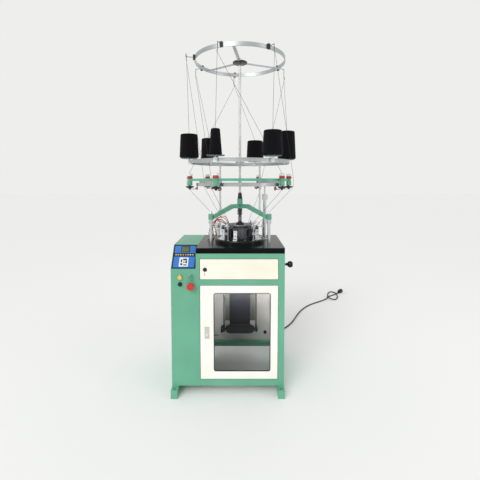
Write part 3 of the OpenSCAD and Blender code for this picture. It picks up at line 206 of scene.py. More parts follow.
def finish(name, colour, metallic, rough, drift=None, grain=(), sockets=None):
    """A finish with a tone that drifts, a gloss that varies and a grain that stands proud.

    rough is one roughness or (size mm, stretch, low, high), drift is (size mm, stretch, colour),
    and grain is a row of (size mm, stretch, height mm)."""
    material, tree, place = blank(name)
    base = linear(colour)
    shader = add(tree, "ShaderNodeBsdfPrincipled", {"Base Color": base, "Metallic": metallic, **(sockets or {})})
    if drift:
        size, stretch, other = drift
        share = add(tree, "ShaderNodeMapRange",
                    {"Value": streaks(tree, place, size, stretch, 3.0), "From Min": DRIFT_SPAN[0],
                     "From Max": DRIFT_SPAN[1]})
        mixed = add(tree, "ShaderNodeMix", {"Factor": share.outputs["Result"], 6: base, 7: linear(other)},
                    data_type="RGBA")
        tree.links.new(mixed.outputs[2], shader.inputs["Base Color"])
    if isinstance(rough, tuple):
        size, stretch, low, high = rough
        spread = add(tree, "ShaderNodeMapRange",
                     {"Value": streaks(tree, place, size, stretch, 3.0), "From Min": GLOSS_SPAN[0],
                      "From Max": GLOSS_SPAN[1], "To Min": low, "To Max": high})
        tree.links.new(spread.outputs["Result"], shader.inputs["Roughness"])
        rough = (low + high) / 2
    shader.inputs["Roughness"].default_value = rough
    normal = {}
    for size, stretch, height in grain:
        bump = add(tree, "ShaderNodeBump", {"Height": streaks(tree, place, size, stretch), "Strength": 1.0,
                                            "Distance": height * MM, **normal})
        normal = {"Normal": bump.outputs["Normal"]}
    if normal:
        tree.links.new(normal["Normal"], shader.inputs["Normal"])
    add(tree, "ShaderNodeOutputMaterial", {"Surface": shader.outputs["BSDF"]})
    return material


def second_coat(material, low, high, colour):
    """Paints what lies between two corners, in mm, in another colour, as a lining or a plate is."""
    tree = material.node_tree
    shader = next(node for node in tree.nodes if node.type == "BSDF_PRINCIPLED")
    place = add(tree, "ShaderNodeTexCoord").outputs["Object"]
    parts = add(tree, "ShaderNodeSeparateXYZ", {"Vector": place}).outputs
    within = 1.0
    for part, a, b in zip(parts, low, high):
        near = add(tree, "ShaderNodeMath", {0: part, 1: (a + b) / 2 * MM, 2: (b - a) / 2 * MM}, operation="COMPARE")
        within = add(tree, "ShaderNodeMath", {0: within, 1: near.outputs[0]}, operation="MULTIPLY").outputs[0]
    first = shader.inputs["Base Color"].links[0].from_socket
    mixed = add(tree, "ShaderNodeMix", {"Factor": within, 6: first, 7: linear(colour)}, data_type="RGBA")
    tree.links.new(mixed.outputs[2], shader.inputs["Base Color"])


def tinted_glass():
    """Grey acrylic sheet, seen through, with a weak reflection and an uneven film of dust."""
    material, tree, place = blank("window_smoked_acrylic_sheet")
    haze = add(tree, "ShaderNodeMapRange",
               {"Value": streaks(tree, place, 90, (1, 1, 2.5), 3.0), "From Min": 0.3, "From Max": 0.75,
                "To Min": 0.02, "To Max": 0.05})
    clear = add(tree, "ShaderNodeBsdfTransparent", {"Color": linear("#E9E9EA")})
    gloss = add(tree, "ShaderNodeBsdfPrincipled",
                {"Base Color": linear("#6C6B6D"), "Roughness": 0.16, "IOR": 1.4})
    mix = add(tree, "ShaderNodeMixShader", {0: haze.outputs["Result"], 1: clear.outputs["BSDF"],
                                            2: gloss.outputs["BSDF"]})
    add(tree, "ShaderNodeOutputMaterial", {"Surface": mix.outputs["Shader"]})
    return material


WAVE_STEP = 0.314  # a wave texture of scale 1 has one band in this many metres
WALE_MM = 3.0


def wound_yarn(name, colour, lift, pitch_mm, sheen):
    """Textured polyester yarn laid in crossing turns: two sets of slanting ridges along the piece's UV map."""
    material, tree, place = blank(name)
    uv = add(tree, "ShaderNodeUVMap", uv_map="UVMap").outputs["UV"]
    ridges = []
    for turn in (14, -14):
        laid = add(tree, "ShaderNodeMapping", {"Vector": uv, "Rotation": (0, 0, math.radians(turn))})
        ridges.append(add(tree, "ShaderNodeTexWave",
                          {"Vector": laid.outputs["Vector"], "Scale": WAVE_STEP / (pitch_mm * MM),
                           "Distortion": 1.4, "Detail": 2.0, "Detail Scale": 3.0},
                          bands_direction="Y").outputs["Fac"])
    both = add(tree, "ShaderNodeMath", {0: ridges[0], 1: ridges[1]}, operation="MAXIMUM").outputs[0]
    tone = add(tree, "ShaderNodeMix", {"Factor": both, 6: linear(colour), 7: linear(lift)}, data_type="RGBA")
    first = add(tree, "ShaderNodeBump", {"Height": both, "Strength": 0.8, "Distance": 0.9 * MM})
    fluff = add(tree, "ShaderNodeBump", {"Height": streaks(tree, place, 1.6, EVEN), "Strength": 0.7,
                                         "Distance": 0.5 * MM, "Normal": first.outputs["Normal"]})
    shader = add(tree, "ShaderNodeBsdfPrincipled",
                 {"Base Color": tone.outputs[2], "Roughness": 0.95, "Normal": fluff.outputs["Normal"],
                  "Sheen Weight": sheen, "Sheen Roughness": 0.5, "Specular IOR Level": 0.12})
    add(tree, "ShaderNodeOutputMaterial", {"Surface": shader.outputs["BSDF"]})
    return material


def knitted_net(name, colour, lift):
    """Filament net: upright wales of loops along the UV map, with bright flecks where filaments catch light."""
    material, tree, place = blank(name)
    uv = add(tree, "ShaderNodeUVMap", uv_map="UVMap").outputs["UV"]
    wales, courses = (
        add(tree, "ShaderNodeTexWave",
            {"Vector": uv, "Scale": WAVE_STEP / (step * MM), "Distortion": distortion, "Detail": 2.0,
             "Detail Scale": 2.0}, bands_direction=direction).outputs["Fac"]
        for step, distortion, direction in ((WALE_MM, 2.2, "X"), (WALE_MM * 0.8, 3.0, "Y")))
    loops = add(tree, "ShaderNodeMath", {0: wales, 1: courses}, operation="MULTIPLY").outputs[0]
    flecks = add(tree, "ShaderNodeTexVoronoi", {"Vector": place, "Scale": 1 / (2.6 * MM)}, feature="F1")
    bright = add(tree, "ShaderNodeMapRange", {"Value": flecks.outputs["Distance"], "From Min": 0.1, "From Max": 0.5,
                                              "To Min": 1.0, "To Max": 0.0}).outputs["Result"]
    share = add(tree, "ShaderNodeMath", {0: bright, 1: loops}, operation="MULTIPLY").outputs[0]
    tone = add(tree, "ShaderNodeMix", {"Factor": share, 6: linear(colour), 7: linear(lift)}, data_type="RGBA")
    bump = add(tree, "ShaderNodeBump", {"Height": loops, "Strength": 1.0, "Distance": 1.2 * MM})
    shader = add(tree, "ShaderNodeBsdfPrincipled",
                 {"Base Color": tone.outputs[2], "Roughness": 0.72, "Normal": bump.outputs["Normal"],
                  "Sheen Weight": 0.05, "Specular IOR Level": 0.25})
    add(tree, "ShaderNodeOutputMaterial", {"Surface": shader.outputs["BSDF"]})
    return material


M = {}  # finishes by their short keys


def make_materials(paint, pitch_mm):
    """Makes each finish, named for what it is made of and how its surface was made."""
    rows = {
        # Powder coat: an even satin film with a fine orange peel
        "cabinet": ("powder_coat_green", paint.cabinet, 0, (120, EVEN, 0.36, 0.5), (260, EVEN, "#60A385"), PEEL),
        "door": ("powder_coat_cream", paint.door, 0, (100, EVEN, 0.34, 0.46), (220, EVEN, "#ECE8D6"), PEEL),
        "door_frame": ("powder_coat_off_white", "#F6F5EE", 0, (100, EVEN, 0.32, 0.44), (220, EVEN, "#EFEEE4"), PEEL),
        "rear": ("primer_grey_sheet", "#D2CFCB", 0, 0.5, (200, EVEN, "#C4C0BC"), ((2.5, EVEN, 0.05),)),
        # Enamel: soft lumps and a wet gloss where it is brushed over rough iron, fine dimples on the motor
        "casting": ("enamel_on_cast_iron", paint.casting, 0, (30, EVEN, 0.26, 0.44), (60, EVEN, "#529679"),
                    ((9, EVEN, 0.5), (2.5, EVEN, 0.12))),
        "motor": ("hammered_grey_enamel", "#5C6B70", 0, 0.4, (8, EVEN, "#4A575C"), ((3.5, EVEN, 0.25),)),
        # Black gloss: deep, with soft mirror images that wave a little
        "tabletop": ("black_gloss_enamel_plate", "#090A0B", 0, (70, (1, 2.5, 1), 0.07, 0.2),
                     (150, EVEN, "#101114"), ((60, EVEN, 0.05),), {"IOR": 1.16}),
        "bed": ("black_gloss_turned_ring", "#08090A", 0, (40, EVEN, 0.08, 0.2), (60, EVEN, "#0F1012"),
                ((50, EVEN, 0.04),), {"IOR": 1.42}),
        # Turned and ground metal: bright, with lathe marks round it, or upright ones on the needles
        "steel": ("ground_steel_bar", "#B2B4B7", 1, (2.5, LATHE, 0.2, 0.38), (30, LATHE, "#9DA0A4"),
                  ((1.5, LATHE, 0.03),)),
        "bright": ("bright_ground_column", "#D0D2D3", 1, (4, LATHE, 0.18, 0.32), (60, LATHE, "#C3C5C7"),
                   ((1.5, LATHE, 0.02),)),
        "needle": ("polished_needle_steel", "#B9BCBE", 1, (2, UPRIGHT, 0.16, 0.3)),
        "brass": ("turned_brass_terminal", "#C9A45A", 1, (3, LATHE, 0.18, 0.32)),
        # Rings bent from bar: streaks that follow the bend, the guide ring polished, the others satin
        "chrome": ("polished_stainless_band", "#BFC0C1", 1, (6, LATHE, 0.2, 0.32), (80, EVEN, "#ACAEB0"),
                   ((2, LATHE, 0.012),)),
        "aluminium": ("rolled_aluminium_bar", "#B6B9BB", 1, (2.5, LATHE, 0.3, 0.48), (50, LATHE, "#A3A7AA"),
                      ((1.8, LATHE, 0.04),)),
        # Milled and cast pieces: pale and dull, with fine tool marks
        "milled": ("milled_white_aluminium", "#EEF0F0", 0.25, (2, UPRIGHT, 0.32, 0.5), (14, EVEN, "#D2D5D7"),
                   ((1.2, UPRIGHT, 0.03),)),
        "zinc": ("satin_zinc_casting", "#D2D1C9", 0.35, (7, EVEN, 0.36, 0.5), (16, EVEN, "#C2C1B8"),
                 ((1.6, EVEN, 0.03),)),
        # Blued, hobbed and oiled steel: grey to black, with a low shine where tools cut it
        "blued": ("blued_tool_steel", "#34363A", 0.75, (5, EVEN, 0.28, 0.46), (18, EVEN, "#4A4D52"),
                  ((0.8, UPRIGHT, 0.03),)),
        "gear": ("hobbed_gear_steel", "#6A6C6E", 1, (4, EVEN, 0.3, 0.5), (12, EVEN, "#4C4A46"),
                 ((1.2, LATHE, 0.04),)),
        "dark_gear": ("oiled_black_gear_steel", "#1E1F21", 0.5, (4, EVEN, 0.32, 0.52), (12, EVEN, "#2B2C2F"),
                      ((1.2, EVEN, 0.04),)),
        # Paint on the take-down's frame: black and half matt, rubbed grey in patches
        "takedown": ("black_frame_olive_plate", "#25282A", 0, (20, EVEN, 0.4, 0.6), (50, EVEN, "#313537"),
                     ((2.5, EVEN, 0.05),)),
        # Black plastic and rubber: moulded nylon is dull, the phenolic ball shines, the sheath is dusty
        "black_plastic": ("moulded_black_nylon", "#0A0A0B", 0, (6, EVEN, 0.38, 0.55), (10, EVEN, "#121214"),
                          ((0.8, EVEN, 0.04),)),
        "phenolic": ("moulded_phenolic_knob", "#050506", 0, (14, EVEN, 0.12, 0.26), (9, EVEN, "#0B0B0C"), (),
                     {"IOR": 1.4}),
        "rubber": ("rubber_cord_sheath", "#17171A", 0, (15, EVEN, 0.5, 0.7), (40, EVEN, "#222226"),
                   ((1.0, EVEN, 0.03),)),
        "belt": ("woven_rubber_belt", "#1A1A1B", 0, 0.7, None, ((1.2, EVEN, 0.08),)),
        # Printed film and labels: flat colours under a thin satin sheet
        "membrane": ("printed_polyester_membrane", paint.membrane, 0, (20, EVEN, 0.26, 0.4), (70, EVEN, "#2870C0"),
                     ((0.9, EVEN, 0.02),)),
        "mask": ("printed_black_mask", "#0D0F14", 0, (20, EVEN, 0.28, 0.42)),
        "display": ("olive_display_glass", "#5E6A3C", 0, (20, EVEN, 0.12, 0.24), (9, EVEN, "#4C5833"), (),
                    {"Coat Weight": 0.6}),
        "label": ("white_vinyl_label", "#E9ECEF", 0, 0.42, (12, EVEN, "#DDE2E8")),
        "key_cream": ("printed_cream_key", "#D9CDB0", 0, 0.4, (4, EVEN, "#C9BC9C")),
        "key_yellow": ("printed_yellow_key", "#DDB54A", 0, 0.4, (4, EVEN, "#CFA63C")),
        # Moulded plastic: clear strong colours with a small sharp highlight
        "green_cap": ("moulded_green_acrylic_cap", "#2E9C6B", 0, 0.22, (8, EVEN, "#278B5E"), (), {"Coat Weight": 0.5}),
        "yellow_cap": ("moulded_yellow_acrylic_cap", "#D8C652", 0, 0.22, (8, EVEN, "#CBB843"), (),
                       {"Coat Weight": 0.5}),
        "red_cap": ("moulded_red_nylon_mushroom", paint.mushroom, 0, (10, EVEN, 0.24, 0.38), (14, EVEN, "#B82A25")),
        "red_knob": ("moulded_red_tension_knob", "#A8312A", 0, 0.32, (8, EVEN, "#8E2620")),
        "white_cap": ("moulded_white_tension_cap", "#E4E3DE", 0, 0.35, (8, EVEN, "#D6D4CD")),
        "saucer": ("moulded_green_saucer", "#16402C", 0, (10, EVEN, 0.3, 0.45), (20, EVEN, "#1D4D36")),
        # Glazed porcelain: white, with a wet highlight
        "porcelain": ("glazed_yarn_eyelet", "#EDEBE4", 0, 0.12, None, (), {"Coat Weight": 0.6}),
        # Wires, card and yarn: silicone is smooth, card is furry, the yarn is soft and dull
        "red_wire": ("red_silicone_wire", "#A5382D", 0, 0.35, (12, EVEN, "#C25A4C")),
        "white_wire": ("white_silicone_wire", "#DAD9D4", 0, 0.4, (12, EVEN, "#C8C6BF")),
        "tube_card": ("grey_card_cone_tube", "#8B8A84", 0, 0.8, (5, EVEN, "#7A7973"), ((0.9, EVEN, 0.08),)),
        "yarn": ("textured_black_yarn", "#1B1B20", 0, 0.85, (3, UPRIGHT, "#2B2B32"), ((1.0, UPRIGHT, 0.1),)),
    }
    for key, row in rows.items():
        M[key] = finish(*row)
    # Behind the window the walls carry only their pale primer, and the take-down's plate is olive
    second_coat(M["cabinet"], *CABINET_INSIDE, "#E8E1DA")
    second_coat(M["takedown"], *TAKEDOWN_PLATE, "#4F5249")
    M["window"] = tinted_glass()
    M["cone_yarn"] = wound_yarn("crosswound_black_polyester", "#050507", "#0F0F13", pitch_mm, 0.03)
    M["net"] = knitted_net("knitted_filament_net", "#15151B", "#44454F")
    M["roll"] = knitted_net("wound_filament_net", "#2A2A30", "#5E5F69")


NODE_FINISH = {
    "cabinet": ("foot_rails", "cabinet_shell"), "door": ("upper_cover",), "door_frame": ("door_frame",),
    "rear": ("rear_panel",), "tabletop": ("tabletop",), "membrane": ("console_panel",),
    "display": ("console_display",), "window": ("door_glass",), "bed": ("bed_ring",),
    "bright": ("bridge_columns", "ring_post", "creel_rods", "mast"), "zinc": ("latch_housing", "latch_handle"),
    "steel": ("hinge_pins", "button_bezels", "motor_pulley", "drive_pulley", "estop_stem", "yarn_feeders"),
    "chrome": ("guide_ring",), "aluminium": ("creel_ring", "top_ring"),
    "milled": ("cam_brackets", "creel_brackets"), "blued": ("needle_cylinder", "cam_segments", "dial", "dial_spindle"),
    "gear": ("cylinder_gear", "pinion_shaft"), "dark_gear": ("winding_roller", "star_wheel"), "needle": ("needles",),
    "casting": ("bridge_casting", "feeder_frame"), "takedown": ("takedown_frame",),
    "motor": ("motor", "shaft_bearings"),
    "black_plastic": ("cover_lock", "jog_button", "hub_cap", "brake_discs", "yarn_guides", "cord_gland"),
    "phenolic": ("side_knob",), "green_cap": ("start_button",), "yellow_cap": ("reset_button",),
    "red_cap": ("estop_head",), "red_knob": ("tension_units",), "saucer": ("saucers",), "belt": ("drive_belt",),
    "rubber": ("power_plug", "power_cord"), "cone_yarn": ("yarn_cones",), "yarn": ("yarns",),
    "net": ("net_tube",), "roll": ("net_roll",),
}


def at(x, y, z):
    """Matrix that moves by mm."""
    return Matrix.Translation(Vector((x, y, z)) * MM)


def spun(degrees, axis="Z"):
    """Matrix that turns about an axis."""
    return Matrix.Rotation(math.radians(degrees), 4, axis)


def polar(angle, radius, z, side=0.0):
    """Point round the knitting axis, from mm to metres; side runs to growing angles."""
    a = math.radians(angle)
    return Vector((AXIS_X + radius * math.sin(a) + side * math.cos(a),
                   -radius * math.cos(a) + side * math.sin(a), z)) * MM


def turned(angle):
    """Matrix that takes a local frame with its front at -Y to an angle round the knitting axis."""
    return at(AXIS_X, 0, 0) @ spun(angle)


def facing(point, direction):
    """Matrix at a point in mm with its Z along a direction."""
    return at(*point) @ Vector(direction).to_track_quat("Z", "Y").to_matrix().to_4x4()


def around(count):
    """Cosine and sine of even steps round a circle."""
    return [(math.cos(2 * math.pi * k / count), math.sin(2 * math.pi * k / count)) for k in range(count)]


def linked(name, data):
    """An object in the scene."""
    obj = bpy.data.objects.new(name, data)
    bpy.context.scene.collection.objects.link(obj)
    return obj


def made(name, bm, angle=35.0, smooth=True):
    """A mesh object from a bmesh in metres, smoothed up to an edge angle."""
    if smooth:
        for face in bm.faces:
            face.smooth = True
        for edge in bm.edges:
            if len(edge.link_faces) == 2 and edge.calc_face_angle(0.0) > math.radians(angle):
                edge.smooth = False
    mesh = bpy.data.meshes.new(name)
    bm.to_mesh(mesh)
    bm.free()
    return linked(name, mesh)


def seat(obj, body, replaces):
    """Puts a piece on its body and the nodes that it stands for."""
    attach(obj, body)
    if replaces:
        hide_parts(*replaces)
    return obj


def piece(name, bm, keys, body, replaces=(), smooth=True, angle=35.0):
    """Turns a bmesh into a named piece on a body, with one finish or a row of them."""
    obj = made(name, bm, angle, smooth)
    for key in keys.split():
        obj.data.materials.append(M[key])
    return seat(obj, body, replaces)


def strip(bm, low, high, index=0, uv=None, u=1.0, v0=0.0, v1=0.0):
    """Faces between two rings, either of which may be one point. uv grows by u at each step round."""
    count = max(len(low), len(high))
    for k in range(count if count > 1 else 0):
        n = k + 1
        corners = [(low[k % len(low)], k, v0), (low[n % len(low)], n, v0), (high[n % len(high)], n, v1),
                   (high[k % len(high)], k, v1)]
        if len(low) == 1:
            del corners[1]
        elif len(high) == 1:
            del corners[2]
        face = bm.faces.new([corner[0] for corner in corners])
        face.material_index = index
        if uv:
            for loop, (_, step, v) in zip(face.loops, corners):
                loop[uv].uv = (step * u, v)


def lathe(bm, profile, steps=48, matrix=None, index=0, uv=None):
    """Turns a profile of (radius, height) in mm about Z. A radius of 0 closes the shape in one point."""
    matrix = matrix or Matrix.Identity(4)
    rings = [[bm.verts.new(matrix @ (Vector((r * c, r * s, z)) * MM)) for c, s in (around(steps) if r else [(0, 0)])]
             for r, z in profile]
    length = 0.0
    for low, high, a, b in zip(rings, rings[1:], profile, profile[1:]):
        end = length + math.dist(a, b)
        strip(bm, low, high, index, uv, 2 * math.pi * max(a[0], b[0]) * MM / steps, length * MM, end * MM)
        length = end


def box(bm, low, high, matrix=None, index=0, bevel=0.0):
    """A block between two corners in mm, with softened edges."""
    matrix = (matrix or Matrix.Identity(4)) @ at(*((a + b) / 2 for a, b in zip(low, high)))
    size = [(b - a) * MM for a, b in zip(low, high)]
    block = bmesh.ops.create_cube(bm, size=1.0, matrix=matrix @ Matrix.Diagonal((*size, 1)))
    faces = {f for v in block["verts"] for f in v.link_faces}
    for face in faces:
        face.material_index = index
    if bevel:
        edges = {e for f in faces for e in f.edges}
        bmesh.ops.bevel(bm, geom=list(edges), offset=bevel * MM, segments=2, affect="EDGES", profile=0.6,
                        material=index)


def smooth_path(points, per):
    """Catmull-Rom curve through points, with the same number of steps in each stretch."""
    pts = [Vector(p) for p in points]
    out = []
    for i in range(len(pts) - 1):
        p0, p1, p2, p3 = pts[max(0, i - 1)], pts[i], pts[i + 1], pts[min(len(pts) - 1, i + 2)]
        for k in range(per):
            t = k / per
            out.append(0.5 * (2 * p1 + (p2 - p0) * t + (2 * p0 - 5 * p1 + 4 * p2 - p3) * t * t
                              + (3 * p1 - p0 - 3 * p2 + p3) * t ** 3))
    out.append(pts[-1])
    return out


def tube(bm, path, radius, sides=10, index=0, uv=None, up=Vector((0, 0, 1))):
    """A closed tube along a path in metres, its frame carried along without twist."""
    rings = []
    normal = None
    for i, point in enumerate(path):
        along = (path[min(len(path) - 1, i + 1)] - path[max(0, i - 1)]).normalized()
        if normal is None:
            normal = along.cross(up)
            if normal.length < 1e-4:
                normal = along.cross(Vector((1, 0, 0)))
        normal = (normal - along * normal.dot(along)).normalized()
        other = along.cross(normal)
        rings.append([bm.verts.new(point + radius * (c * normal + s * other)) for c, s in around(sides)])
    run = 0.0
    for low, high, a, b in zip(rings, rings[1:], path, path[1:]):
        end = run + (b - a).length
        strip(bm, low, high, index, uv, 0.01 / sides, run, end)
        run = end
    bm.faces.new(list(reversed(rings[0]))).material_index = index
    bm.faces.new(rings[-1]).material_index = index


def hoop(bm, centre, across, up, radius, wire, index=0):
    """A round wire bent to a circle about a centre, in the plane of two directions."""
    steps, sides = 20, 8
    ways = [c * across + s * up for c, s in around(steps)]
    rings = [[bm.verts.new(centre + MM * ((radius + wire * c) * way + wire * s * across.cross(up))) for way in ways]
             for c, s in around(sides)]
    for low, high in zip(rings, rings[1:] + rings[:1]):
        strip(bm, low, high, index)


def screw(bm, matrix, r, h, index=0, socket=True):
    """Cap screw with a socket, or a round head without one, standing along the matrix's Z."""
    if socket:
        profile = [(0, 0), (r, 0), (r, h * 0.75), (r * 0.88, h), (r * 0.5, h), (r * 0.45, h * 0.5), (0, h * 0.45)]
    else:
        profile = [(0, 0), (r, 0), (r * 0.92, h * 0.5), (r * 0.6, h * 0.9), (0, h)]
    lathe(bm, profile, 14, matrix, index)


def ring_of(name, bm, key, body, count, radius, z, start=0.0, replaces=()):
    """Geometry Nodes: copies of a small mesh on a circle round the axis, each turned with its place, made real."""
    source = made(name + "_source", bm)
    tree = bpy.data.node_groups.new(name, "GeometryNodeTree")
    inputs = [tree.interface.new_socket(label, in_out="INPUT", socket_type="NodeSocket" + kind)
              for label, kind in (("Geometry", "Geometry"), ("Count", "Int"), ("Radius", "Float"),
                                  ("Height", "Float"), ("Start", "Float"))]
    tree.interface.new_socket("Geometry", in_out="OUTPUT", socket_type="NodeSocketGeometry")
    given = add(tree, "NodeGroupInput").outputs
    circle = add(tree, "GeometryNodeMeshCircle", {"Vertices": given["Count"], "Radius": given["Radius"]})
    index = add(tree, "GeometryNodeInputIndex").outputs["Index"]
    share = add(tree, "ShaderNodeMath", {0: index, 1: given["Count"]}, operation="DIVIDE").outputs[0]
    angle = add(tree, "ShaderNodeMath", {0: share, 1: 2 * math.pi}, operation="MULTIPLY").outputs[0]
    turn = add(tree, "ShaderNodeCombineXYZ", {"Z": angle}).outputs["Vector"]
    instance = add(tree, "GeometryNodeObjectInfo", {"Object": source}).outputs["Geometry"]
    points = add(tree, "GeometryNodeInstanceOnPoints",
                 {"Points": circle.outputs["Mesh"], "Instance": instance, "Rotation": turn}).outputs["Instances"]
    real = add(tree, "GeometryNodeRealizeInstances", {"Geometry": points}).outputs["Geometry"]
    lift = add(tree, "ShaderNodeCombineXYZ", {"X": AXIS_X * MM, "Z": given["Height"]}).outputs["Vector"]
    first = add(tree, "ShaderNodeCombineXYZ", {"Z": given["Start"]}).outputs["Vector"]
    placed = add(tree, "GeometryNodeTransform",
                 {"Geometry": real, "Translation": lift, "Rotation": first}).outputs["Geometry"]
    coated = add(tree, "GeometryNodeSetMaterial", {"Geometry": placed, "Material": M[key]}).outputs["Geometry"]
    add(tree, "NodeGroupOutput", {"Geometry": coated})
    carrier = linked(name, bpy.data.meshes.new(name))
    modifier = carrier.modifiers.new("ring", "NODES")
    modifier.node_group = tree
    for socket, value in zip(inputs[1:], (count, radius * MM, z * MM, math.radians(start))):
        modifier[socket.identifier] = value
    graph = bpy.context.evaluated_depsgraph_get()
    mesh = bpy.data.meshes.new_from_object(carrier.evaluated_get(graph))
    bpy.data.objects.remove(carrier)
    bpy.data.objects.remove(source)
    return seat(linked(name, mesh), body, replaces)


class KNIT_OT_stage(bpy.types.Operator):
    """Makes the finishes, the camera, the lamps and the floor"""
    bl_idname = "knit.stage"
    bl_label = "Stage"

    def execute(self, context):
        scene = context.scene
        settings = scene.knit_stage
        make_materials(scene.knit_paint, scene.knit_yarn.wind_pitch / MM)
        data = bpy.data.cameras.new("viewer")
        data.sensor_width, data.lens, data.shift_y = SENSOR, LENS, SHIFT
        data.clip_end = 100.0
        camera = linked("viewer", data)
        camera.location = CAMERA_AT
        camera.rotation_euler = (math.radians(90) - CAMERA_TILT, 0, 0)
        scene.camera = camera
        scene.view_settings.view_transform = "Standard"
        self.make_sky(scene, settings.sky)

        data = bpy.data.lights.new("soft_sun", "SUN")
        data.angle = math.radians(30)
        data.energy = settings.sun
        linked("soft_sun", data).rotation_euler = Vector((0.42, 0.85, -0.66)).to_track_quat("-Z", "Y").to_euler()
        power = settings.lamp_power
        self.make_lamp("left_softbox", (-2.6, -2.6, 2.6), (0, 0, 0.9), (1.2, 2.6), power)
        self.make_lamp("right_softbox", (2.8, -1.6, 2.2), (0, 0, 0.9), (1.0, 2.6), power * 0.7)
        self.make_lamp("cabinet_fill", (0.03, -0.12, 0.58), (0.03, 0.23, 0.41), (0.3, 0.05), settings.cabinet_fill, 92)
        self.make_lamp("rear_softbox", (0.6, 3.0, 3.0), (0, 0, 1.0), (2.4, 1.2), power * 0.25)

        bm = bmesh.new()
        bmesh.ops.create_grid(bm, x_segments=1, y_segments=1, size=FLOOR_HALF)
        floor = made("floor", bm, smooth=False)
        code = "#" + "".join("%02X" % round(c * 255) for c in settings.floor)
        floor.data.materials.append(finish("matt_studio_floor", code, 0, 0.85))
        floor.location = (0, 0, -FLOOR_DROP)
        return {"FINISHED"}

    def make_sky(self, scene, strength):
        """Even light from all round, behind a pale backdrop that the camera and mirrors see."""
        world = bpy.data.worlds.new("studio")
        scene.world = world
        world.use_nodes = True
        tree = world.node_tree
        tree.nodes.clear()
        path = add(tree, "ShaderNodeLightPath").outputs
        seen = path["Is Camera Ray"]
        for ray in ("Is Transmission Ray", "Is Glossy Ray"):
            seen = add(tree, "ShaderNodeMath", {0: seen, 1: path[ray]}, operation="MAXIMUM").outputs[0]
        lit = add(tree, "ShaderNodeBackground", {"Color": (1, 1, 1, 1), "Strength": strength})
        back = add(tree, "ShaderNodeBackground", {"Color": linear("#EEEEEC"), "Strength": 1.0})
        mix = add(tree, "ShaderNodeMixShader", {0: seen, 1: lit.outputs[0], 2: back.outputs[0]})
        add(tree, "ShaderNodeOutputWorld", {"Surface": mix.outputs[0]})

    def make_lamp(self, name, place, target, size, power, spread=180):
        """A softbox that the camera doesn't see."""
        data = bpy.data.lights.new(name, "AREA")
        data.shape = "RECTANGLE"
        data.size, data.size_y = size
        data.spread = math.radians(spread)
        data.energy = power
        lamp = linked(name, data)
        lamp.visible_camera = False
        lamp.location = place
        lamp.rotation_euler = (Vector(target) - Vector(place)).to_track_quat("-Z", "Y").to_euler()


class KNIT_OT_cord(bpy.types.Operator):
    """Makes the power cord with its strain relief and plug"""
    bl_idname = "knit.cord"
    bl_label = "Power cord"

    def execute(self, context):
        path = [Vector((p.x, p.y, max(p.z, CORD_D / 2))) * MM for p in smooth_path(CORD_POINTS, 6)]
        bm = bmesh.new()
        uv = bm.loops.layers.uv.new("UVMap")
        tube(bm, path, CORD_D / 2 * MM, 16, uv=uv)
        cord = piece("power_cord_sheath", bm, "rubber", "machine", ("power_cord",))
        plug = self.make_plug()
        self.make_gland()
        return {"FINISHED"}

    def make_plug(self):
        """Moulded round plug with grip ribs, a cable boot and two pins."""
        base = at(*CORD_POINTS[-1][:2], 0) @ spun(PLUG_TURN)
        lying = base @ at(0, 0, PLUG_Z) @ spun(90, "Y")
        bm = bmesh.new()
        body = [(0, 8), (9, 8), (12, 9)]
        for k in range(6):
            z = 12 + k * 3
            body += [(12.4 + k, z), (12.4 + k, z + 1.6), (11.6 + k, z + 2.2)]
        body += [(18.4, 31), (19, 33), (19, 60), (17.6, 63), (14, 64), (0, 64)]
        lathe(bm, body, 40, lying)
        for y in (-9.5, 9.5):
            lathe(bm, [(0, 63), (2.4, 63), (2.4, 81), (1.6, 83), (0, 83)], 16, lying @ at(0, y, 0), index=1)
        boot = [(0, 0), (5.6, 0)]
        for k in range(5):
            r, z = 5.8 + k * 0.25, 2 + k * 4.6
            boot += [(r, z), (r, z + 2.4), (r - 0.5, z + 3.2)]
        boot += [(6.9, 26), (0, 26)]
        lathe(bm, boot, 24, base @ at(0, 0, 7) @ spun(90, "Y"))
        return piece("power_plug_moulding", bm, "rubber brass", "machine", ("power_plug",))

    def make_gland(self):
        """Threaded gland with hexagon nuts on both sides of the panel and a tapered, ribbed relief."""
        matrix = at(*GLAND) @ spun(-90, "X")
        relief = [(0, 10), (10, 10)]
        for k in range(6):
            r, z = 9.8 - k * 0.5, 11 + k * 3.4
            relief += [(r, z), (r, z + 2.0), (r - 0.9, z + 2.3), (r - 0.9, z + 3.1)]
        relief += [(7, 31.5), (5.4, 32), (0, 32)]
        bm = bmesh.new()
        for profile, steps in (([(0, 0), (12.2, 0), (13, 1), (13, 9), (12.2, 10), (0, 10)], 6), (relief, 28),
                               ([(0, -9.4), (12, -9.4), (12, -1.6), (0, -1.6)], 6),
                               ([(0, -5), (8, -5), (8, 1), (0, 1)], 24)):
            lathe(bm, profile, steps, matrix)
        piece("cord_gland_relief", bm, "black_plastic", "machine", ("cord_gland",))


class KNIT_OT_finishes(bpy.types.Operator):
    """Gives every piece of the frame its own finish"""
    bl_idname = "knit.finishes"
    bl_label = "Finishes"

    def execute(self, context):
        for key, nodes in NODE_FINISH.items():
            for node in nodes:
                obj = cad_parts[node]
                if not obj.material_slots:
                    obj.data.materials.append(M[key])
                for place in obj.material_slots:
                    place.material = M[key]
        missing = set(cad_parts) - {n for nodes in NODE_FINISH.values() for n in nodes}
        if missing:
            raise RuntimeError("no finish for " + ", ".join(sorted(missing)))
        return {"FINISHED"}


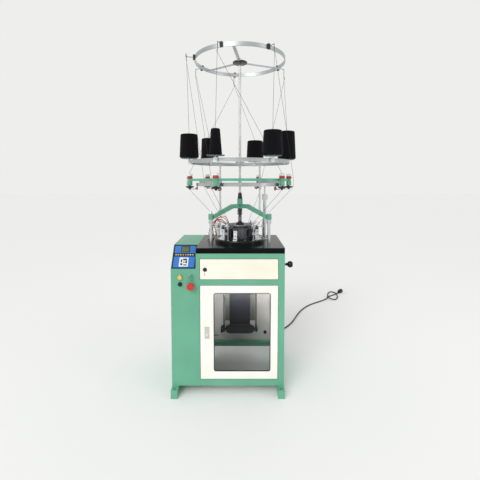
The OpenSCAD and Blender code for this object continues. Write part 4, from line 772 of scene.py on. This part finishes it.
class KNIT_OT_console(bpy.types.Operator):
    """Makes the printed console, its keys, the button rings and the latch's barrel"""
    bl_idname = "knit.console"
    bl_label = "Console and buttons"

    # Name, finish, slot, foot and top over the panel, bevel, and corners on the slope in mm
    PRINTS = (
        # The black border round the whole membrane, and the key strip between its two blue fields
        ("console_mask", "mask", "black_plastic", 0, 0.5, 0,
         ((3, 2, 10, 152.7), (126, 2, 133, 152.7), (3, 2, 133, 9), (3, 145, 133, 152.7), (3, 76, 133, 98))),
        ("display_bezel", "mask", "black_plastic", 0, 0.7, 0.3, ((44, 103, 94, 142),)),
        ("display_glass", "display", "display", 0.5, 0.95, 0.2, ((48, 107, 90, 138),)),
        ("console_label", "label", "cream_paint", 0, 0.6, 0.25, ((42, 14, 92, 70),)),
        ("label_keys", "mask", "black_plastic", 0.5, 0.8, 0.1,
         ((49, 22, 62, 34), (66, 20, 84, 27), (50, 40, 58, 58), (64, 36, 72, 44), (76, 34, 85, 50),
          (62, 52, 84, 62))),
    )
    KEYS = ((20, 0), (33, 0), (46, 0), (60, 1), (74, 1), (87, 0), (100, 2), (114, 0))  # x and colour

    def execute(self, context):
        rise = math.atan2(CONSOLE_TOP - CONSOLE_FOOT, CONSOLE_DEPTH)
        slope = at(LEFT, FRONT, CONSOLE_FOOT) @ Matrix.Rotation(rise, 4, "X") @ at(0, 0, PANEL_T)
        for name, key, slot, low, high, bevel, rows in self.PRINTS:
            bm = bmesh.new()
            for x0, y0, x1, y1 in rows:
                box(bm, (x0, y0, low), (x1, y1, high), slope, bevel=bevel)
            piece(name, bm, key, "machine", smooth=bevel > 0)
        bm = bmesh.new()
        for x, kind in self.KEYS:
            lathe(bm, [(0, 0), (4.2, 0), (4.2, 0.5), (3.6, 0.9), (0, 1.0)], 20, slope @ at(x, 87, 0.4), index=kind)
        piece("membrane_keys", bm, "key_cream key_yellow label", "machine")

        bm = bmesh.new()
        for x, z, r in BUTTONS:
            lathe(bm, [(r - 0.2, 0), (r + 0.9, 0), (r + 0.9, 0.8), (r + 0.2, 1.4), (r - 0.2, 1.4), (r - 0.2, 0)], 40,
                  facing((x, FRONT, z), FORWARD))
        # The jog button's bezel is black, so a thin black shell lies over it
        jog_x, jog_z, _ = BUTTONS[2]
        lathe(bm, [(9.3, 4.6), (11.2, 4.6), (11.2, 0.2), (11.9, 0.2), (11.9, 4.9), (11.3, 5.4), (9.3, 5.4),
                   (9.3, 4.6)], 40, facing((jog_x, FRONT, jog_z), FORWARD), index=1)
        piece("bezel_washers", bm, "steel mask", "machine")

        bm = bmesh.new()
        lathe(bm, [(0, 0), (6.4, 0), (6.4, 1.6), (5.4, 2.2), (2.2, 2.2), (2.0, 1.4), (0, 1.3)], 28,
              facing((-163, -232, 338), FORWARD))
        box(bm, (-163.7, -234.3, 332.8), (-162.3, -233.2, 339.4), index=1)
        piece("latch_key_barrel", bm, "label mask", "door")
        return {"FINISHED"}


class KNIT_OT_cabinet_trim(bpy.types.Operator):
    """Makes the window's seal, the rear panel's screws, and the side knob with its bush"""
    bl_idname = "knit.cabinet_trim"
    bl_label = "Cabinet trim"

    def execute(self, context):
        x, z, w, h, r = WINDOW
        corners = [(cx, cz, math.radians(first + k * 90 / 8)) for cx, cz, first in
                   ((x + w - r, z + h - r, 0), (x + r, z + h - r, 90), (x + r, z + r, 180), (x + w - r, z + r, 270))
                   for k in range(9)]
        bm = bmesh.new()
        loops = []
        for grow, depth in ((0.4, 0.0), (-0.2, -0.9), (-3.4, -0.9), (-4.2, 0.6), (-4.2, 3.0), (0.4, 2.0)):
            rr = r + grow
            loops.append([bm.verts.new(Vector((cx + rr * math.cos(a), FRONT + depth, cz + rr * math.sin(a))) * MM)
                          for cx, cz, a in corners])
        for a, b in zip(loops, loops[1:] + loops[:1]):
            strip(bm, a, b)
        bmesh.ops.recalc_face_normals(bm, faces=bm.faces)
        piece("window_seal", bm, "rubber", "door")

        pitch = 96
        bm = bmesh.new()
        for x, z in ([(x, 90 + k * pitch) for k in range(8) for x in (-334, 238)]
                     + [(-240 + k * pitch, z) for k in range(5) for z in (770, 82)]):
            screw(bm, facing((x, BACK, z), (0, 1, 0)), 4.0, 2.4, socket=False)
        piece("panel_screws", bm, "steel", "machine")

        bm = bmesh.new()
        matrix = facing((RIGHT, -190, 722), (1, 0, 0))
        lathe(bm, [(8.2, 0), (8.2, 5.5), (7.4, 6.4), (5.3, 6.4), (5.3, 0)], 32, matrix)
        piece("side_bush_cap", bm, "steel", "machine")
        bm = bmesh.new()
        ball_r, ball_x = 18, 34
        profile = [(0, -40), (8.8, -40), (9, -39.6), (9, -32.4), (8.6, -32), (4.9, -32), (4.9, 10), (7, 10),
                   (7.6, 12), (8.8, 23.6), (9.6, 24.2)]
        profile += [(ball_r * math.sin(t), ball_x - ball_r * math.cos(t)) for t in map(math.radians, range(46, 136, 6))]
        profile += [(11.4, 47), (0, 47)]
        lathe(bm, profile, 48, matrix)
        piece("side_ball_knob", bm, "phenolic", "side_knob", ("side_knob",), angle=50)
        return {"FINISHED"}


class KNIT_OT_head(bpy.types.Operator):
    """Makes the knitting head's needles, screws, levers and wires"""
    bl_idname = "knit.head"
    bl_label = "Knitting head"

    def execute(self, context):
        settings = context.scene.knit_head
        self.make_needles(settings.needles)
        for name, body, r, h, count, radius, z, start in (
                ("flange_screws", "rotor", 2.3, 1.6, settings.flange_screws, 92.4, 848.3, 5.0),
                ("bed_screws", "machine", 4.0, 3.0, 12, 118.0, 842.0, 15.0),
                ("dial_screws", "machine", 2.6, 2.0, 16, 63.0, DIAL_TOP, 11.0)):
            bm = bmesh.new()
            screw(bm, Matrix.Identity(4), r, h)
            ring_of(name, bm, "steel", body, count, radius, z, start)

        # Bright rim on the dial, and the knurled coupling over it
        bm = bmesh.new()
        lathe(bm, [(71.0, 922.6), (74.3, 921.4), (74.3, 918.6), (71.0, 918.4)], 96, at(AXIS_X, 0, 0))
        piece("dial_rim", bm, "steel", "machine")
        bm = bmesh.new()
        box(bm, (9.6, -0.7, 938), (10.7, 0.7, 966), bevel=0.2)
        # The rib's mesh already stands at its radius, so the ring is drawn with next to none
        ring_of("coupling_knurl", bm, "steel", "machine", 24, 0.001, 0.0)

        self.make_brackets()
        self.make_levers()
        for name, group, key in (("red_sensor_wires", RED_WIRES, "red_wire"),
                                 ("white_sensor_wires", WHITE_WIRES, "white_wire")):
            bm = bmesh.new()
            for points in group:
                tube(bm, smooth_path([Vector((AXIS_X + x, y, z)) * MM for x, y, z in points], 6), 2.1 * MM, 8)
            piece(name, bm, key, "machine")
        self.make_clamps()
        return {"FINISHED"}

    def make_needles(self, count):
        """Latch needles: flat stem, butt, open latch and a hook bent from round wire."""
        low = 800.0  # the height that the one needle's mesh is drawn from
        foot, top, x = CYLINDER_FOOT - low, CYLINDER_TOP - low, -2.2
        bm = bmesh.new()
        box(bm, (x, -0.45, foot + 11), (x + 1.6, 0.45, top + 6))
        box(bm, (x + 1.4, -0.45, foot + 22), (x + 2.6, 0.45, foot + 27))
        hook = ((0.8, 5), (0.8, 9), (1.3, 10.8), (2.5, 11.6), (3.7, 10.9), (4.0, 9.2))
        latch = ((1.2, 4.6), (4.2, 3.2))
        for points, wire, sides in ((hook, 0.42, 6), (latch, 0.32, 5)):
            tube(bm, [Vector((x + dx, 0, top + dz)) * MM for dx, dz in points], wire * MM, sides)
        ring_of("latch_needles", bm, "needle", "rotor", count, CYLINDER_R, low,
                replaces=("needles",))

    def make_brackets(self):
        """Screws in the bracket feet and slots, and a stack of black knobs over the two front ones."""
        bm = bmesh.new()
        for angle in BRACKETS_AT:
            side = 1 if 0 < angle < 90 else -1
            turn = turned(angle)
            screw(bm, turn @ at(side * 29, -135, 847), 3.4, 3.0)
            screw(bm, turn @ facing((0, -138, 892), FORWARD), 3.6, 2.6)
            screw(bm, turn @ facing((0, -138, 872), FORWARD), 2.6, 2.0)
        turn = turned(-12)
        screw(bm, turn @ at(0, -138, 848), 4.4, 4.6, index=1)
        screw(bm, turn @ facing((0, -130, 892), FORWARD), 2.6, 2.0)
        piece("bracket_screws", bm, "steel mask", "machine")

        bm = bmesh.new()
        for angle in (47, -47):
            lathe(bm, [(0, 0), (3.2, 0), (3.2, 3), (10.5, 3), (11.5, 4), (11.5, 7), (10.5, 8), (4, 8), (4, 11),
                       (9, 11), (9.8, 12), (9.8, 15), (8.8, 16), (3, 16), (3, 22), (0, 22.5)], 32,
                  turned(angle) @ at(0, -134, 904))
        piece("stitch_cam_knobs", bm, "black_plastic", "machine")

    def make_levers(self):
        """Bright rods that link the brackets over the needles, and a lever on each bracket."""
        bm = bmesh.new()
        for a, b, z, r in ((-72, -47, 926, 112), (-47, -30, 920, 116), (34, 47, 922, 118), (84, 133, 930, 116),
                           (47, 84, 926, 120)):
            path = [polar(a + (b - a) * k / 8, r + 2 * math.sin(k), z + 2 * math.sin(k * 1.3)) for k in range(9)]
            tube(bm, smooth_path(path, 2), 2.0 * MM, 8)
        for angle in BRACKETS_AT:
            turn = turned(angle) @ at(0, 0, 912)
            box(bm, (-6, -135, 0), (6, -119, 7), turn, bevel=0.8)
            box(bm, (-3.5, -124, 4), (3.5, -104, 9), turn, bevel=0.8)
            box(bm, (-5, -107, 3), (5, -98, 12), turn, bevel=0.8)
            screw(bm, turn @ at(0, -130, 7), 3.6, 3.2)
            screw(bm, turn @ at(0, -102.5, 12), 3.0, 6.0)
        piece("cam_levers", bm, "milled", "machine")

    def make_clamps(self):
        """Clamp screws in the bridge, the frame and the post, and a dark hub plate that paints the shade under the top
        ring.
        """
        bm = bmesh.new()
        for angle in ARMS_AT:
            turn = turned(angle)
            for z in (968, 984):
                screw(bm, turn @ facing((14.4, -193, z), (1, 0, 0)), 3.6, 4.6)
            screw(bm, turn @ facing((0, -206, 946), FORWARD), 2.4, 1.4)
            screw(bm, turn @ facing((0, -143, 1177), FORWARD), 2.6, 3.0)
        turn = turned(109)
        screw(bm, turn @ facing((0, -171.3, 1177), FORWARD), 2.6, 3.0)
        screw(bm, turn @ facing((0, -178.8, 1084), FORWARD), 2.6, 3.0)
        screw(bm, facing((AXIS_X, -17.6, 1038), FORWARD), 4.6, 2.4, index=1)
        piece("clamp_screws", bm, "steel mask", "machine")

        # A screwed plate over the top ring's hub; its dark blued finish is painted shade, the shade seen under the hub
        bm = bmesh.new()
        lathe(bm, [(7.2, 1870.6), (41.4, 1870.6), (42.4, 1871.4), (42.4, 1878.6), (41.4, 1879.4), (7.2, 1879.4),
                   (7.2, 1870.6)], 64, at(AXIS_X, 0, 0))
        for k in range(6):
            screw(bm, Matrix.Translation(polar(30 + k * 60, 24, 1879.4)), 3.4, 3.0)
        piece("top_hub_plate", bm, "blued", "machine")


class KNIT_OT_creel(bpy.types.Operator):
    """Makes the yarn cones, tension units' caps, knobs, wires and yarn eyelets"""
    bl_idname = "knit.creel"
    bl_label = "Creel"

    def execute(self, context):
        self.make_cones()
        self.make_stations()
        self.make_guides()
        return {"FINISHED"}

    def make_cones(self):
        """Wound cones with rounded shoulders and a card tube that shows at both ends."""
        bm = bmesh.new()
        uv = bm.loops.layers.uv.new("UVMap")
        steps = 40
        for angle, (r0, r1, h) in zip(CONE_AT, CONE_SIZES):
            matrix = Matrix.Translation(polar(angle, CONE_R, CREEL_Z))
            profile = [(20, 2.4), (r0 - 6, 2.0), (r0 - 2, 3.2), (r0, 7)]
            for k in range(1, steps):
                t = k / steps
                swell = 0.15 * math.sin(t * 40) + 0.25 * math.sin(t * 97)
                profile.append((r0 + (r1 - r0) * t + swell, 7 + (h - 14) * t))
            profile += [(r1 - 0.6, h - 5), (r1 - 3.5, h - 1.4), (r1 - 8, h - 0.4), (15, h - 1.0), (12.6, h - 2)]
            lathe(bm, profile, 72, matrix, uv=uv)
            lathe(bm, [(21.5, 0.4), (23, 0.4), (23, 3.0), (13.6, h - 6), (13.2, h), (11.8, h), (12.0, h - 6),
                       (21.5, 2.6), (21.5, 0.4)], 48, matrix, index=1, uv=uv)
        piece("wound_cones", bm, "cone_yarn tube_card", "machine", ("yarn_cones",))

    def make_stations(self):
        """Red drums with white caps over the frame, and brake discs with red knobs under it, each with a yarn eye."""
        caps, brakes, wires = bmesh.new(), bmesh.new(), bmesh.new()
        for (angle, r), wire_turn in zip(STATIONS, WIRE_TURN):
            place = turned(angle) @ at(0, -r, 0)
            up = place @ at(0, 0, FRAME_Z)
            lathe(caps, [(0, 15.6), (15.9, 15.6), (16, 17), (16, 25), (15, 27.3), (9, 28.2), (9, 29.4), (4, 30.3),
                         (0, 30.3)], 36, up)
            lathe(caps, [(0, 0.1), (15, 0.1), (16, 1.4), (16, 11), (15.2, 13.4), (12.4, 13.6), (12.4, 15.8),
                         (0, 15.8)], 36, up, index=1)
            # Ribs pressed into the red drum
            for k in range(12):
                box(caps, (-1.1, 15.6, 2.4), (1.1, 16.4, 10.6), up @ spun(k * 30), index=1, bevel=0.3)
            lathe(brakes, [(0, 1132), (6, 1132), (6, 1139.4), (13, 1139.8), (23.2, 1146.3), (24, 1147.4), (24, 1151.4),
                           (23.2, 1152), (9.4, 1152), (9.2, 1155.9), (0, 1155.9)], 40, place)
            lathe(brakes, [(0, 1139), (11, 1139), (11.6, 1139.5), (11, 1140), (0, 1140)], 32, place, index=2)
            box(brakes, (-4, 1, 1132.5), (4, 46.4, 1135.5), place, index=2, bevel=0.5)
            box(brakes, (-4, 44, 1134), (4, 47, 1147), place, index=2, bevel=0.5)
            knob = place @ facing((0, 39, 1140), (0, 1, 0))
            lathe(brakes, [(0, 0), (9, 0), (11, 1.1), (11.3, 2), (11.3, 4.4), (10.4, 5.6), (6, 6), (0, 6)], 36, knob,
                  index=1)
            lathe(brakes, [(0, -6), (4.4, -6), (5, -5.2), (5, 0.4), (0, 0.4)], 20, knob, index=2)
            for k in range(14):
                box(brakes, (-0.9, 11.0, 1.6), (0.9, 11.7, 4.8), knob @ spun(360 * k / 14), index=1, bevel=0.25)
            out = place @ spun(wire_turn)
            across, away = (out.col[i].to_3d() for i in (0, 1))
            for bm, z, start in ((caps, UPPER_EYE, 12), (brakes, LOWER_EYE, 20)):
                ends = [out @ (Vector((0, -y, z)) * MM) for y in (start, 24.4, EYE_OUT)]
                tube(bm, ends[:2], 1.1 * MM, 8, index=2)
                hoop(bm, ends[2], across, away, 4, 1.3, 3)
            for points in (((10, 8, 1160), (17, 12, 1147), (14, 22, 1137), (6, 30, 1137), (0, 35, 1140)),
                           ((-12, -6, 1158), (-22, -4, 1150), (-26, 4, 1160), (-18, 8, 1176), (-8, 10, 1188))):
                tube(wires, smooth_path([place @ (Vector(p) * MM) for p in points], 4), 1.3 * MM, 6)
        piece("tension_caps", caps, "white_cap red_knob steel porcelain", "machine",
              ("tension_units",))
        piece("brake_units", brakes, "black_plastic red_knob steel porcelain", "machine",
              ("brake_discs",))
        piece("brake_wires", wires, "white_wire", "machine")

    def make_guides(self):
        """White eyelets set in the top guides' wire rings."""
        bm = bmesh.new()
        for angle, dz, cone in zip(GUIDE_AT, EYE_DZ, CONE_AT):
            centre = polar(angle, GUIDE_R, GUIDE_Z + dz, math.copysign(EYE_SIDE, cone - angle))
            across = spun(angle) @ Vector((1, 0, 0))
            hoop(bm, centre, across, Vector((0, 0, 1)), 3.75, 1.35)
        piece("guide_eyelets", bm, "porcelain", "machine")


class KNIT_OT_net(bpy.types.Operator):
    """Makes the knitted net tube and its wound roll"""
    bl_idname = "knit.net"
    bl_label = "Net and roll"

    def execute(self, context):
        tube_piece = self.make_tube()
        roll = self.make_roll()
        return {"FINISHED"}

    def make_tube(self):
        """A tube that leaves the needles round and hangs down flat, with an inner skin 1 mm in."""
        top, flat_z, end = 902.3, 684.0, 280.0
        round_r, flat_r, half, centre = 68, 63.5, 2.6, 4.0
        steps, sides = 110, 64
        bm = bmesh.new()
        uv = bm.loops.layers.uv.new("UVMap")
        skins = []
        for t in (0.0, 1.0):
            rings = []
            for j in range(steps + 1):
                z = end + (top - end) * j / steps
                u = min(1, max(0, (top - z) / (top - flat_z)))
                s = u * u * (3 - 2 * u)
                rx = (1 - s) * round_r + s * flat_r - t + 0.7 * math.sin(z / 17.0) * s
                ry = (1 - s) * round_r + s * half - t
                fold = 0.45 * s * (1 - t)
                rings.append([bm.verts.new(Vector((AXIS_X + rx * c, s * centre
                                                   + (ry + fold * math.sin(z / 9.0 + 7 * c)) * sn, z)) * MM)
                              for c, sn in around(sides)])
            skins.append(rings)
        around_step, along_step = 260.0 / sides * MM, (top - end) / steps * MM
        outer, inner = skins
        for j in range(steps):
            v0, v1 = j * along_step, (j + 1) * along_step
            strip(bm, outer[j], outer[j + 1], 0, uv, around_step, v0, v1)
            strip(bm, inner[j + 1], inner[j], 0, uv, around_step, v1, v0)
        strip(bm, inner[0], outer[0])
        strip(bm, outer[steps], inner[steps])
        return piece("knitted_net_tube", bm, "net", "rotor", ("net_tube",))

    def make_roll(self):
        """The wound roll: stepped layers at both ends, rounded shoulders and a slightly uneven face."""
        r, bore, shoulder = 27.0, 8.05, 16.4
        profile = [(bore, -86)]
        for k in range(7):
            profile += [(9 + k * 1.1, -86 + 0.5 * (k % 2)), (9.6 + k * 1.1, -86.0)]
        profile += [(16.2, -85.6)]
        profile += [(shoulder + (r - shoulder) * k / 11, -85 + 21 * k / 11 + 0.3 * (k % 2)) for k in range(12)]
        for k in range(1, 48):
            x = -64 + 128 * k / 48
            profile.append((r - 0.35 + 0.3 * math.sin(x / 5.0), x))
        profile += [(r - (r - shoulder) * k / 11, 64 + 21 * k / 11 - 0.3 * (k % 2)) for k in range(12)]
        profile += [(16.2, 85.6)]
        for k in range(7):
            profile += [(16.2 - k * 1.1, 86.0), (15.6 - k * 1.1, 86 - 0.5 * (k % 2))]
        profile += [(bore, 86)]
        bm = bmesh.new()
        uv = bm.loops.layers.uv.new("UVMap")
        lathe(bm, profile, 64, facing((AXIS_X, -25.9, 283), (1, 0, 0)), uv=uv)
        return piece("wound_net_roll", bm, "roll", "winder", ("net_roll",))


class KNIT_OT_yarns(bpy.types.Operator):
    """Makes the six running yarns from the cones to the feeders"""
    bl_idname = "knit.yarns"
    bl_label = "Yarns"

    def execute(self, context):
        radius = context.scene.knit_yarn.yarn_d / 2
        lap = 2.4  # how far a yarn bends round the guide's wire
        bm = bmesh.new()
        for k, station in enumerate(TO_STATION):
            angle, r = STATIONS[station]
            turn = math.radians(WIRE_TURN[station])
            r += EYE_OUT * math.cos(turn)
            x = EYE_OUT * math.sin(turn)
            side = math.copysign(EYE_SIDE, CONE_AT[k] - GUIDE_AT[k])
            eye = GUIDE_Z + EYE_DZ[k] - EYE_R
            over = [polar(GUIDE_AT[k], GUIDE_R + dr, eye + dz, side) for dr, dz in
                    ((-lap, -0.5), (-0.6 * lap, lap), (0.6 * lap, lap), (lap, -0.5))]
            feeder = [polar(FEEDER_AT[station], end, FEEDER_Z) for end in INTO_FEEDER]
            points = [polar(CONE_AT[k], CONE_R, CREEL_Z + 0.3 + CONE_SIZES[k][2]), *over,
                      polar(angle, r, UPPER_EYE, x), polar(angle, r, LOWER_EYE - 3.5, x), *feeder]
            tube(bm, points, radius, 8, up=spun(GUIDE_AT[k]) @ Vector((1, 0, 0)))
        piece("running_yarns", bm, "yarn", "machine", ("yarns",))
        return {"FINISHED"}


class KNIT_PT_sidebar(bpy.types.Panel):
    """Lists the machine's settings and pieces in the sidebar"""
    bl_label = "Knitting Machine"
    bl_idname = "KNIT_PT_sidebar"
    bl_space_type = "VIEW_3D"
    bl_region_type = "UI"
    bl_category = "Knitting Machine"

    def draw(self, context):
        for name, group in SETTINGS.items():
            for setting in group.__annotations__:
                self.layout.prop(getattr(context.scene, name), setting)
        for operator in OPERATORS:
            self.layout.operator(operator.bl_idname)


SETTINGS = {"knit_stage": KnitStageSettings, "knit_paint": KnitPaintSettings, "knit_head": KnitHeadSettings,
            "knit_yarn": KnitYarnSettings}
OPERATORS = (KNIT_OT_stage, KNIT_OT_cord, KNIT_OT_finishes, KNIT_OT_console, KNIT_OT_cabinet_trim, KNIT_OT_head,
             KNIT_OT_creel, KNIT_OT_net, KNIT_OT_yarns)
CLASSES = (*SETTINGS.values(), *OPERATORS, KNIT_PT_sidebar)


def register():
    for cls in CLASSES:
        bpy.utils.register_class(cls)
    for name, cls in SETTINGS.items():
        setattr(bpy.types.Scene, name, bpy.props.PointerProperty(type=cls))


def unregister():
    for name in SETTINGS:
        delattr(bpy.types.Scene, name)
    for cls in reversed(CLASSES):
        bpy.utils.unregister_class(cls)


def main():
    register()
    for operator in OPERATORS:
        group, name = operator.bl_idname.split(".")
        getattr(getattr(bpy.ops, group), name)()


if __name__ == "__main__":
    main()
